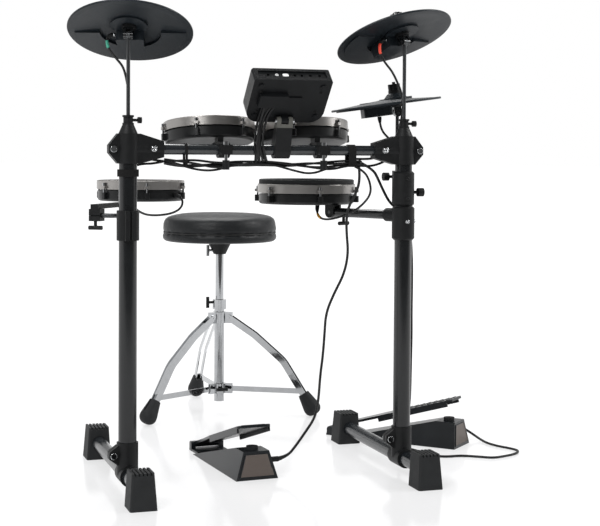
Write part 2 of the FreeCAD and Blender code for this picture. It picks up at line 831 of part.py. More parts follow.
def rubber_feet():
    feet = []
    for side in ("-", ""):
        x = f"{side}column_spacing / 2"
        feet.append(put(rubber_foot(), x, "foot_bottom_depth - foot_front_reach", "0", Rotation(Z, 180)))
        feet.append(put(rubber_foot(), x, "foot_back_reach - foot_bottom_depth", "0"))
    node("rubber_feet", group(*feet))


def split_ear(body, corners, bolt_x, bolt_z):
    """Bolted ear on the outline's side of a sleeve, split along its middle."""
    pad(body, outline(sketch(body, "XZ_Plane"), corners), "ear_thickness", middle=True)
    hole = circle(sketch(body, "XZ_Plane"), "bolt_diameter / 2 + grip_gap", bolt_x, bolt_z)
    pocket(body, hole, "ear_thickness + overrun", middle=True)


def base_clamp():
    body = new_body("base_clamp")
    pad(body, circle(sketch(body, "XY_Plane"), "base_sleeve_diameter / 2"), "base_sleeve_top")
    pad(body, circle(sketch(body, "XZ_Plane"), "base_bar_sleeve_diameter / 2"), "base_bar_sleeve_length",
        middle=True)
    middle = "(base_ear_low + base_ear_high) / 2"
    split_ear(body, [("0", "base_ear_low"), ("0", "base_ear_high"),
                     ("-base_sleeve_diameter / 2", "base_ear_high"),
                     ("-base_ear_reach", f"{middle} + base_ear_tip / 2"),
                     ("-base_ear_reach", f"{middle} - base_ear_tip / 2"),
                     ("-base_sleeve_diameter / 2", "base_ear_low")],
              "-(base_ear_reach + base_sleeve_diameter / 2) / 2", middle)
    seat = "foot_bar_diameter / 2 + column_foot_gap"
    bore = circle(sketch(body, "XY_Plane", seat), "column_diameter / 2 + grip_gap")
    pocket(body, bore, "base_sleeve_top", back=True)
    bar = circle(sketch(body, "XZ_Plane"), "foot_bar_diameter / 2 + grip_gap")
    pocket(body, bar, "base_bar_sleeve_length + overrun", middle=True)
    slit = outline(sketch(body, "XZ_Plane"), [("0", f"{seat} + overrun"), ("0", "base_sleeve_top + overrun"),
                                              ("-base_ear_reach - overrun", "base_sleeve_top + overrun"),
                                              ("-base_ear_reach - overrun", f"{seat} + overrun")])
    pocket(body, slit, "ear_slit", middle=True)
    return body


def base_clamps():
    clamps = [put(base_clamp(), f"{side}column_spacing / 2") for side in ("-", "")]
    node("base_clamps", group(*clamps), "0", "0", "foot_bar_height")


def top_clamp():
    """Tee fitting: column sleeve with a cone, tapered crossbar arm and a bolted ear."""
    body = new_body("top_clamp")
    top = "top_sleeve_above + top_cone_height"
    profile = outline(sketch(body, "XZ_Plane"), [
        ("0", "-top_sleeve_below"), ("top_sleeve_diameter / 2", "-top_sleeve_below"),
        ("top_sleeve_diameter / 2", "top_sleeve_above"), ("top_cone_diameter / 2", "top_sleeve_above"),
        ("top_neck_diameter / 2", top), ("0", top)])
    revolve(body, profile)
    arm = outline(sketch(body, "XZ_Plane"), [
        ("0", "-top_sleeve_below"), ("top_sleeve_diameter / 2", "-top_sleeve_below"),
        ("top_arm_reach", "-top_arm_end_height / 2"), ("top_arm_reach", "top_arm_end_height / 2"),
        ("top_sleeve_diameter / 2", "top_sleeve_above"), ("0", "top_sleeve_above")])
    pad(body, arm, "top_arm_thickness", middle=True)
    pad(body, circle(sketch(body, "YZ_Plane"), "top_arm_end_height / 2"), "top_arm_reach")
    split_ear(body, [("0", "-top_sleeve_below"), ("-top_sleeve_diameter / 2", "-top_sleeve_below"),
                     ("-top_ear_reach", "-top_ear_tip / 2"), ("-top_ear_reach", "top_ear_tip / 2"),
                     ("-top_sleeve_diameter / 2", "top_sleeve_above"), ("0", "top_sleeve_above")],
              "-(top_ear_reach + top_sleeve_diameter / 2) / 2", "0")
    column_end = "top_sleeve_above - column_top_gap"
    bore = circle(sketch(body, "XY_Plane", column_end), "column_diameter / 2 + grip_gap")
    pocket(body, bore, f"2 * top_sleeve_below + {column_end}")
    pocket(body, circle(sketch(body, "XY_Plane"), "rod_diameter / 2 + running_gap"),
           f"{top} + overrun", back=True)
    pocket(body, circle(sketch(body, "YZ_Plane"), "crossbar_diameter / 2 + grip_gap"),
           "top_arm_reach + overrun", back=True)
    slit = outline(sketch(body, "XZ_Plane"), [
        ("0", "-top_sleeve_below - overrun"), ("0", column_end),
        ("-top_ear_reach - overrun", column_end),
        ("-top_ear_reach - overrun", "-top_sleeve_below - overrun")])
    pocket(body, slit, "ear_slit", middle=True)
    return body


def rod_collar():
    """Ring with a side screw that grips a cymbal rod."""
    flanges = [cylinder("top_neck_diameter", "rod_collar_flange", "0", "0", low)
               for low in ("0", "rod_collar_height - rod_collar_flange")]
    ring = cut(fuse(cylinder("rod_collar_waist", "rod_collar_height"), *flanges),
               cylinder("rod_diameter + 2 * running_gap", "rod_collar_height + 2 * overrun", "0", "0",
                        "-overrun"),
               cylinder("collar_screw_diameter + 2 * grip_gap", "collar_screw_reach", "0", "0",
                        "rod_collar_height / 2", ALONG_X))
    start = "rod_diameter / 2 + running_gap + grip_gap"
    screw = fuse(cylinder("collar_screw_diameter", f"collar_screw_reach - {start}", start, "0",
                          "rod_collar_height / 2", ALONG_X),
                 cylinder("collar_knob_diameter", "collar_knob_length",
                          "collar_screw_reach - collar_knob_length",
                          "0", "rod_collar_height / 2", ALONG_X))
    return [ring, screw]


def top_clamps():
    pieces = []
    for side, turn in (("-", 0), ("", 180)):
        spot = f"{side}column_spacing / 2"
        pieces.append(put(top_clamp(), spot, "0", "0", Rotation(Z, turn)))
        collar = group(*rod_collar())
        pieces.append(put(collar, spot, "0", "top_sleeve_above + top_cone_height"))
    node("top_clamps", group(*pieces), "0", "0", "crossbar_height")


def clamp_bolt():
    """Bolt along y through a split ear, with its nut."""
    body = new_body("clamp_bolt")
    half = "ear_thickness / 2"
    profile = outline(sketch(body, "XY_Plane"), [
        ("0", f"-{half} - bolt_head_height"),
                                                 ("bolt_head_diameter / 2", f"-{half} - bolt_head_height",
                                                  "overrun / 2"),
        ("bolt_head_diameter / 2", f"-{half}"), ("bolt_diameter / 2", f"-{half}"),
        ("bolt_diameter / 2", half), ("bolt_head_diameter / 2", half),
        ("bolt_head_diameter / 2", f"{half} + bolt_head_height"), ("0", f"{half} + bolt_head_height")])
    revolve(body, profile)
    return body


def rack_bolts():
    bolts = []
    top = "column_spacing / 2 + (top_ear_reach + top_sleeve_diameter / 2) / 2"
    base = "(base_ear_reach + base_sleeve_diameter / 2) / 2"
    low = "foot_bar_height + (base_ear_low + base_ear_high) / 2"
    for side in ("-", ""):
        bolts.append(put(clamp_bolt(), f"{side}({top})", "0", "crossbar_height"))
        bolts.append(put(clamp_bolt(), f"{side}column_spacing / 2 - {base}", "0", low))
    node("rack_bolts", group(*bolts))


def bar_strap(width, place):
    """Flat strap round the crossbar and the leads below it."""
    body = new_body("bar_strap")
    inner, outer = "crossbar_diameter / 2 + grip_gap", "crossbar_diameter / 2 + grip_gap + strap_thickness"
    drawn = sketch(body, "YZ_Plane")
    block_outline(drawn, f"2 * ({outer})", "-strap_hang - strap_thickness", outer, f"{outer} - grip_gap")
    block_outline(drawn, f"2 * ({inner})", "-strap_hang", inner, f"{inner} - grip_gap")
    pad(body, drawn, width, middle=True)
    return put(body, place, "0", "crossbar_height")


def cable_straps():
    ring = tube("column_strap_diameter", "(column_strap_diameter - column_diameter) / 2 - grip_gap",
                "column_strap_width", "XY_Plane", middle=False)
    put(ring, "-column_spacing / 2", "0", column_strap_height)
    straps = [bar_strap("strap_width", "strap_place"), bar_strap("tie_width", "tie_place"), ring]
    node("cable_straps", group(*straps))


# Cymbal pads


def barrel_sleeve(body, diameter, length):
    """Round barrel with chamfered ends."""
    wide, narrow = f"{diameter} / 2", f"{diameter} / 2 - sleeve_chamfer"
    revolve(body, outline(sketch(body, "XZ_Plane"), [
        ("0", "0"), (narrow, "0"), (wide, "sleeve_chamfer"), (wide, f"{length} - sleeve_chamfer"),
        (narrow, length), ("0", length)]))


def hihat_clamp():
    """Sleeve on the right column with a boss behind it for the hi-hat rod, and two knobs."""
    body = new_body("hihat_clamp")
    length = "hihat_clamp_length"
    barrel_sleeve(body, "hihat_clamp_diameter", length)
    half, span = "hihat_bridge_width / 2", "sqrt(hihat_rod_x * hihat_rod_x + hihat_rod_y * hihat_rod_y)"
    side_x, side_y = f"{half} * hihat_rod_y / {span}", f"{half} * hihat_rod_x / {span}"
    bridge = outline(sketch(body, "XY_Plane"), [
        (f"-{side_x}", side_y), (side_x, f"-{side_y}"),
        (f"hihat_rod_x + {side_x}", f"hihat_rod_y - {side_y}"),
        (f"hihat_rod_x - {side_x}", f"hihat_rod_y + {side_y}")])
    pad(body, bridge, length)
    pad(body, circle(sketch(body, "XY_Plane"), "hihat_boss_diameter / 2", "hihat_rod_x", "hihat_rod_y"),
        length)
    holes = circle(sketch(body, "XY_Plane"), "column_diameter / 2 + grip_gap")
    pocket(body, holes, f"{length} + overrun", back=True)
    rod = circle(sketch(body, "XY_Plane"), "rod_diameter / 2 + running_gap", "hihat_rod_x", "hihat_rod_y")
    pocket(body, rod, f"{length} + overrun", back=True)
    knobs = []
    for x, y, z, way in (("hihat_rod_x - hihat_boss_diameter / 2", "hihat_rod_y", "hihat_knob_high", "-"),
                         ("hihat_clamp_diameter / 2", "0", "hihat_knob_low", "")):
        turn = Rotation(Y, -90) if way else ALONG_X
        shank = f"{x} {way or '+'} knob_shank_length"
        knobs.append(fuse(cylinder("knob_shank_diameter", "knob_shank_length", x, y, z, turn),
                          cylinder("knob_diameter", "knob_length", shank, y, z, turn)))
    node("hihat_clamp", group(body, *knobs), "column_spacing / 2", "0", hihat_clamp_height)


def cymbal_rod(label, x, y, foot, top):
    """Upright rod whose top is a tilter knuckle with its axle."""
    rod = cylinder("rod_diameter", f"{top} - {foot}", "0", "0", f"{foot} - {top}")
    knuckle = cylinder("tilter_diameter", "tilter_knuckle_width", "0", "-tilter_knuckle_width / 2", "0",
                       ALONG_Y)
    width = "tilter_knuckle_width + 2 * side_gap + 2 * tilter_ear_width"
    axle = cylinder("tilter_pin_diameter", width, "0", f"-({width}) / 2", "0", ALONG_Y)
    return node(label, fuse(rod, knuckle, axle), x, y, top)


def cymbal_dish(diameter):
    """Shallow dish about the pad's middle, with the bell, hub, strike ring and sensor box at its hole."""
    body = new_body("cymbal_dish")
    rim = f"{diameter} / 2"
    outline_points = [
        ("0", "cymbal_rise"), (f"{rim} - cymbal_edge_band", "0"), (rim, "0", "cymbal_edge_round"),
        (rim, "cymbal_edge_thickness", "cymbal_brim_round"),
        (f"{rim} - cymbal_edge_band", "cymbal_edge_thickness"), ("0", "cymbal_rise + cymbal_thickness")]
    revolve(body, outline(sketch(body, "XZ_Plane"), outline_points))
    put(body, "cymbal_offset")
    bell = new_body("cymbal_bell")
    high = "cymbal_rise + cymbal_thickness"
    revolve(bell, outline(sketch(bell, "XZ_Plane"), [
        ("0", "cymbal_rise"), ("bell_diameter / 2", "cymbal_rise"),
        ("bell_crown_diameter / 2", f"{high} + bell_height", "bell_round"), ("0", f"{high} + bell_height")]))
    hub = cylinder("hub_diameter", "hub_depth + cymbal_rise", "0", "0", "0")
    ring_low = "-strike_ring_depth"
    height = "strike_ring_depth + cymbal_edge_thickness"
    half = doc.addObject("Part::Cylinder", "half_ring")
    bind(half, Radius="strike_ring_outer / 2", Height=height)
    half.Angle = 180
    put(half, "cymbal_offset", "0", ring_low, Rotation(Z, -90))
    inner = cylinder("strike_ring_inner", f"{height} + 2 * overrun", "cymbal_offset", "0",
                     f"{ring_low} - overrun")
    ring = cut(half, inner)
    case = new_body("sensor_box")
    drawn = sketch(case, "XY_Plane", "cymbal_rise + cymbal_thickness / 2")
    block = [("sensor_box_start", "-sensor_box_width / 2", "sensor_box_corner"),
             ("sensor_box_start + sensor_box_length", "-sensor_box_width / 2 + sensor_box_corner",
              "sensor_box_corner"),
             ("sensor_box_start + sensor_box_length", "sensor_box_width / 2 - sensor_box_corner",
              "sensor_box_corner"),
             ("sensor_box_start", "sensor_box_width / 2", "sensor_box_corner")]
    pad(case, outline(drawn, block), "sensor_box_depth", back=True)
    whole = fuse(body, bell, hub, ring, case)
    hole = cylinder("cymbal_hole", f"2 * bell_height + {high} + 2 * overrun", "0", "0", "-overrun")
    return cut(whole, hole)


def ribbed_nut():
    body = new_body("cymbal_nut")
    pad(body, circle(sketch(body, "XY_Plane"), "nut_diameter / 2"), "nut_height")
    flute = pocket(body, circle(sketch(body, "XY_Plane"), "nut_flute / 2", "nut_diameter / 2"),
                   "nut_height + overrun", back=True)
    around(body, [flute], NUT_FLUTES)
    pocket(body, circle(sketch(body, "XY_Plane"), "rod_diameter / 2 + grip_gap"), "nut_height + overrun",
           back=True)
    return body


def tilter_fork(length):
    """Two ears round the rod's knuckle, joined by a bridge that carries the threaded stub."""
    ear = "tilter_knuckle_width / 2 + side_gap + tilter_ear_width / 2"
    bridge_low = "tilter_diameter / 2 + side_gap"
    cheeks = []
    for side in ("-", ""):
        start = f"{side}({ear}) - tilter_ear_width / 2"
        cheeks.append(cylinder("tilter_diameter", "tilter_ear_width", "0", start, "0", ALONG_Y))
        cheeks.append(box("tilter_diameter", "tilter_ear_width", f"{bridge_low} + tilter_bridge", "0",
                          f"{side}({ear})"))
    bridge = box("tilter_diameter", f"2 * ({ear}) + tilter_ear_width", "tilter_bridge", "0", "0", bridge_low)
    stub = cylinder("rod_diameter", f"{length} - ({bridge_low})", "0", "0", bridge_low)
    bore = cylinder("tilter_pin_diameter + 2 * pin_gap", f"2 * ({ear}) + 2 * tilter_ear_width", "0",
                    f"-({ear}) - tilter_ear_width", "0", ALONG_Y)
    return cut(fuse(*cheeks, bridge, stub), bore)


def felt(z):
    return cut(cylinder("felt_diameter", "felt_height", "0", "0", z),
               cylinder("rod_diameter + 2 * grip_gap", "felt_height + 2 * overrun", "0", "0",
                        f"{z} - overrun"))


def cymbal(label, diameter, x, y, z, lean, facing):
    """Pad on its tilter: it leans by lean towards the compass direction facing."""
    seat = "tilter_diameter / 2 + side_gap + tilter_bridge"
    hub = f"{seat} + felt_height"
    top = f"{hub} + cymbal_rise + cymbal_thickness + bell_height"
    nut = f"{top} + felt_height"
    dish = put(cymbal_dish(diameter), "0", "0", hub)
    fork = tilter_fork(f"{nut} + nut_height + stub_tip")
    pieces = [dish, fork, felt(seat), felt(top), put(ribbed_nut(), "0", "0", nut)]
    turn = about(Z, facing).multiply(about(Y, lean))
    node(label, group(*pieces), x, y, z, turn)


def cymbals():
    for side, sign in (("left", "-"), ("right", "")):
        x, top = f"{sign}column_spacing / 2", f"(crossbar_height + {side}_cymbal_rise)"
        rod = cymbal_rod(f"{side}_cymbal_rod", x, "0", "(crossbar_height - rod_insert)", top)
        rod.Placement.Rotation = about(Z, f"{side}_cymbal_facing")
        cymbal(f"{side}_cymbal", "cymbal_diameter", x, "0", top, f"{side}_cymbal_lean",
               f"{side}_cymbal_facing")
    x, y = "column_spacing / 2 + hihat_rod_x", "hihat_rod_y"
    foot = f"({hihat_clamp_height} + hihat_rod_foot_rise)"
    rod = cymbal_rod("hihat_rod", x, y, foot, hihat_pivot_height)
    rod.Placement.Rotation = about(Z, "hihat_facing")
    cymbal("hihat_cymbal", "hihat_diameter", x, y, hihat_pivot_height, "hihat_lean", "hihat_facing")


# Drum pads


def lug_blocks(body, reach, inner, width, low, height):
    """Blocks round the rim for the tension rods."""
    drawn = outline(sketch(body, "XY_Plane", low), [
        (inner, f"-{width} / 2"), (reach, f"-{width} / 2", "overrun"),
        (reach, f"{width} / 2", "overrun"), (inner, f"{width} / 2")])
    around(body, [pad(body, drawn, height)], LUGS)


def rod_holes(body, kind, low, height):
    drawn = circle(sketch(body, "XY_Plane", low), "tension_rod_diameter / 2 + grip_gap",
                   f"{kind}_rod_circle / 2")
    around(body, [pocket(body, drawn, height, back=True)], LUGS)


def drum_shell(kind, mounted):
    """Low bowl with a stepped neck, six lugs and, on a rack tom, a tilt tongue below."""
    body = new_body("drum_shell")
    outer, neck = f"{kind}_shell_diameter / 2", f"{kind}_neck_diameter / 2"
    revolve(body, outline(sketch(body, "XZ_Plane"), [
        ("0", "0"), (outer, "0", "shell_round"), (outer, f"{kind}_shell_height"),
                                                     (neck, f"{kind}_shell_height"),
        (neck, f"{kind}_neck_height"), (f"{neck} - shell_wall", f"{kind}_neck_height"),
        (f"{neck} - shell_wall", "shell_floor"), ("0", "shell_floor")]))
    lug_blocks(body, f"{kind}_ear_reach", f"{outer} - shell_wall", "lug_width", "lug_low", "lug_height")
    rod_holes(body, kind, "lug_low + overrun", "lug_height")
    if mounted:
        place = "-tongue_place"
        tongue = outline(sketch(body, "YZ_Plane"), [
            (f"{place} - tongue_root", "shell_floor / 2"),
            (f"{place} - mount_ear_diameter / 2", "-tongue_drop - mount_ear_diameter / 2",
             "mount_ear_diameter / 2 - grip_gap"),
            (f"{place} + mount_ear_diameter / 2", "-tongue_drop - mount_ear_diameter / 2",
             "mount_ear_diameter / 2 - grip_gap"),
            (f"{place} + tongue_root", "shell_floor / 2")])
        pad(body, tongue, "tongue_width", middle=True)
        hole = circle(sketch(body, "YZ_Plane"), "mount_pin_diameter / 2 + pin_gap", place, "-tongue_drop")
        pocket(body, hole, "tongue_width + overrun", middle=True)
    return body


def drum_head(kind):
    """Mesh skin over the neck, with its skirt and flesh ring."""
    body = new_body("drum_head")
    inner = f"{kind}_neck_diameter / 2 + grip_gap"
    top, low = f"{kind}_neck_height", f"{kind}_hoop_low + overrun"
    revolve(body, outline(sketch(body, "XZ_Plane"), [
        ("0", top), (inner, top), (inner, low), (f"{kind}_flesh_diameter / 2", low),
        (f"{kind}_flesh_diameter / 2", f"{low} + flesh_height"),
                                                     (f"{inner} + skin", f"{low} + flesh_height"),
        (f"{inner} + skin", f"{top} + skin"), ("0", f"{top} + skin")]))
    return body


def drum_hoop(kind, rimmed):
    """Flanged hoop with six ears, its tension rods, and a rubber rim on the snare."""
    body = new_body("drum_hoop")
    inner, outer = f"{kind}_hoop_inner / 2", f"{kind}_hoop_outer / 2"
    lip, flange = f"{kind}_hoop_lip / 2", f"{kind}_neck_diameter / 2 + 2 * grip_gap + skin"
    low, high = f"{kind}_hoop_low", f"{kind}_hoop_high"
    seat = f"{low} + overrun + flesh_height"
    revolve(body, outline(sketch(body, "XZ_Plane"), [
        (inner, low), (outer, low), (outer, high, "hoop_lip_height / 2"), (lip, high),
        (lip, f"{high} - hoop_lip_height"), (inner, f"{high} - hoop_lip_height"),
        (inner, f"{seat} + hoop_flange"), (flange, f"{seat} + hoop_flange"), (flange, seat), (inner, seat)]))
    ear_low = f"{low} + overrun"
    lug_blocks(body, f"{kind}_ear_reach", f"({inner} + {outer}) / 2", "ear_width", ear_low, "ear_height")
    rod_holes(body, kind, ear_low, "ear_height + overrun")
    rods = new_body("tension_rods")
    foot = "lug_low + 2 * overrun"
    shaft = pad(rods, circle(sketch(rods, "XY_Plane", foot), "tension_rod_diameter / 2",
                             f"{kind}_rod_circle / 2"),
                f"{ear_low} + ear_height - ({foot}) + overrun")
    head = pad(rods, circle(sketch(rods, "XY_Plane", f"{ear_low} + ear_height"), "tension_head_diameter / 2",
                            f"{kind}_rod_circle / 2"), "tension_head_height")
    around(rods, [shaft, head], LUGS)
    pieces = [body, rods]
    if rimmed:
        rim = new_body("rubber_rim")
        top = f"{high} + snare_rim_height"
        revolve(rim, outline(sketch(rim, "XZ_Plane"), [
            ("snare_rim_inner / 2", high), ("snare_rim_outer / 2", high),
            ("snare_rim_outer / 2", top, "snare_rim_round"),
                                                       ("snare_rim_inner / 2", top, "snare_rim_round")]))
        pieces.append(rim)
    return group(*pieces)


def drum_sensor(kind):
    """Piezo plate on the shell's floor and the foam cone that reaches the skin."""
    plate = cylinder("sensor_plate_diameter", "sensor_plate_height", "0", "0", "shell_floor")
    low = "shell_floor + sensor_plate_height"
    return group(plate, cone("sensor_foam_bottom", "sensor_foam_top",
                             f"{kind}_neck_height - ({low}) - grip_gap",
                             "0", "0", low))


def drum(name, kind, shell, x, y, z, turn):
    node(f"{name}_shell", shell, x, y, z, turn)
    node(f"{name}_head", drum_head(kind), x, y, z, turn)
    node(f"{name}_hoop", drum_hoop(kind, kind == "snare"), x, y, z, turn)
    node(f"{name}_sensor", drum_sensor(kind), x, y, z, turn)


def tom_mount():
    """Clamp on the crossbar with two ears for the tom's tongue, its pin, and the clamp bolt in front."""
    body = new_body("tom_mount")
    pad(body, circle(sketch(body, "YZ_Plane"), "mount_ring_diameter / 2"), "mount_width", middle=True)
    ear = "mount_ear_diameter / 2"
    ears = outline(sketch(body, "YZ_Plane"), [
        ("0", f"mount_pivot_z - {ear}"),
                                              (f"mount_pivot_y + {ear}", f"mount_pivot_z - {ear}",
                                               f"{ear} - grip_gap"),
        (f"mount_pivot_y + {ear}", f"mount_pivot_z + {ear}", f"{ear} - grip_gap"),
                                              ("0", f"mount_pivot_z + {ear}")])
    pad(body, ears, "mount_width", middle=True)
    front = outline(sketch(body, "YZ_Plane"), [
        ("0", "-mount_front_height / 2"), ("-mount_front_reach", "-mount_front_height / 2"),
        ("-mount_front_reach", "mount_front_height / 2"), ("0", "mount_front_height / 2")])
    pad(body, front, "mount_width", middle=True)
    pocket(body, circle(sketch(body, "YZ_Plane"), "crossbar_diameter / 2 + grip_gap"),
           "mount_width + overrun",
           middle=True)
    gap = outline(sketch(body, "YZ_Plane"), [
        ("mount_ring_diameter / 2", "mount_pivot_z - mount_ear_diameter"),
        ("mount_pivot_y + mount_ear_diameter", "mount_pivot_z - mount_ear_diameter"),
        ("mount_pivot_y + mount_ear_diameter", "mount_pivot_z + mount_ear_diameter"),
        ("mount_ring_diameter / 2", "mount_pivot_z + mount_ear_diameter")])
    pocket(body, gap, "tongue_width + 2 * side_gap", middle=True)
    hole = circle(sketch(body, "YZ_Plane"), "mount_pin_diameter / 2 + pin_gap", "mount_pivot_y",
                  "mount_pivot_z")
    pocket(body, hole, "mount_width + overrun", middle=True)
    bolt_hole = circle(sketch(body, "XY_Plane"), "mount_bolt_diameter / 2 + grip_gap", "0",
                       "-mount_bolt_place")
    pocket(body, bolt_hole, "mount_front_height + overrun", middle=True)
    pin_start = "-mount_width / 2 - mount_pin_head_height"
    axle = fuse(cylinder("mount_pin_diameter", "mount_width + 2 * mount_pin_head_height", pin_start,
                         "mount_pivot_y",
                         "mount_pivot_z", ALONG_X),
                cylinder("mount_pin_head", "mount_pin_head_height", pin_start, "mount_pivot_y",
                         "mount_pivot_z", ALONG_X),
                cylinder("mount_pin_head", "mount_pin_head_height", "mount_width / 2", "mount_pivot_y",
                         "mount_pivot_z",
                         ALONG_X))
    half = "mount_front_height / 2"
    knob_low = f"-{half} - mount_knob_drop - mount_knob_height"
    bolt = fuse(cylinder("mount_bolt_diameter", f"mount_front_height + mount_knob_drop + overrun", "0",
                         "-mount_bolt_place", f"-{half} - mount_knob_drop - overrun"),
                cylinder("mount_cap_diameter", "mount_bolt_rise", "0", "-mount_bolt_place", half))
    grip = cut(cylinder("mount_knob_diameter", "mount_knob_height", "0", "-mount_bolt_place", knob_low),
               cylinder("mount_bolt_diameter + 2 * grip_gap", "mount_knob_height", "0", "-mount_bolt_place",
                        f"-{half} - mount_knob_drop - overrun - grip_gap"))
    return [body, axle, bolt, grip]


def rack_toms():
    mounts = []
    lean = about(X, "-tom_lean")
    # The tongue's bore lies on the mount's pin, so the shell's own origin follows from the lean
    y = "mount_pivot_y + tongue_place * cos(tom_lean) + tongue_drop * sin(tom_lean)"
    z = "crossbar_height + mount_pivot_z - tongue_place * sin(tom_lean) + tongue_drop * cos(tom_lean)"
    for name in ("left_tom", "right_tom"):
        mounts.append(put(group(*tom_mount()), f"{name}_place"))
        drum(name, "tom", drum_shell("tom", True), f"{name}_place", y, z, lean)
    node("tom_mounts", group(*mounts), "0", "0", "crossbar_height")


def wing_bolt(x, y, z, turn=Rotation(), length="wing_shank_length"):
    """Tee-handled clamp screw hanging from a face at z."""
    shank = cylinder("wing_shank_diameter", length, "0", "0", f"-{length}")
    bar = cylinder("wing_bar_diameter", "wing_bar_length", "-wing_bar_length / 2", "0", f"-{length}",
                   ALONG_X)
    return put(fuse(shank, bar), x, y, z, turn)


def floor_tom():
    """Pad on a bracket whose jaw grips the arm's rod; the arm's collar swings on the left column."""
    jaw_y = "-floor_tom_reach"
    jaw_height = "arm_rod_drop - bracket_height + jaw_below"
    jaw = cut(box("jaw_length", "jaw_depth", jaw_height, "0", jaw_y, "-arm_rod_drop - jaw_below"),
              cylinder("arm_rod_diameter + 2 * running_gap", "2 * jaw_length", "-jaw_length", jaw_y,
                       "-arm_rod_drop", ALONG_X),
              box("2 * jaw_length", "jaw_depth", "ear_slit", "0", f"{jaw_y} - jaw_depth / 2",
                  "-arm_rod_drop - ear_slit / 2"))
    reach = "floor_tom_reach - tom_shell_diameter / 2 + bracket_overlap + jaw_depth / 2"
    bracket = box("bracket_width", reach, "bracket_height", "0", f"{jaw_y} - jaw_depth / 2 + ({reach}) / 2",
                  "-bracket_height")
    screw = wing_bolt("0", f"{jaw_y} - jaw_depth / 4", "-arm_rod_drop - jaw_below")
    shell = group(drum_shell("tom", False), jaw, bracket, screw)
    turn = about(Z, "floor_tom_turn")
    drum("floor_tom", "tom", shell, "floor_tom_x", "floor_tom_y", floor_tom_height, turn)

    body = new_body("column_collar")
    pad(body, circle(sketch(body, "XY_Plane"), "collar_diameter / 2"), "collar_length")
    lug = block_outline(sketch(body, "XY_Plane"), "ear_thickness", "-collar_lug_reach", "0")
    pad(body, lug, "collar_length")
    pocket(body, circle(sketch(body, "XY_Plane"), "column_diameter / 2 + running_gap"),
           "collar_length + overrun", back=True)
    slit = block_outline(sketch(body, "XY_Plane"), "ear_slit", "-collar_lug_reach - overrun", "0")
    pocket(body, slit, "collar_length + overrun", back=True)

    # The rod leaves the collar's back and turns into the line that the jaw grips
    jaw_place = Vector(amount("floor_tom_x + column_spacing / 2"), amount("floor_tom_y"), 0) \
        + turn.multVec(Vector(0, amount(jaw_y), 0))
    height = Vector(0, 0, amount("arm_rod_level"))
    line = turn.multVec(X)
    corner = jaw_place + line * amount("arm_rod_side")
    way = Vector(corner).normalize()
    start = way * amount("collar_diameter / 2 - overrun")
    end = jaw_place - line * amount("arm_rod_past")
    rod, length = bent_rod([start + height, corner + height, end + height], [amount("arm_rod_bend")],
                           amount("arm_rod_diameter"))
    drilled = cut(body, cylinder("arm_rod_diameter + 2 * grip_gap", "collar_diameter", "0", "0", "0"))
    drilled.Tool.Placement = Placement(way * amount("collar_diameter / 2 - overrun - grip_gap") + height,
                                       Rotation(Z, way))
    node("floor_tom_arm", group(drilled, rod), "-column_spacing / 2", "0", collar_height)


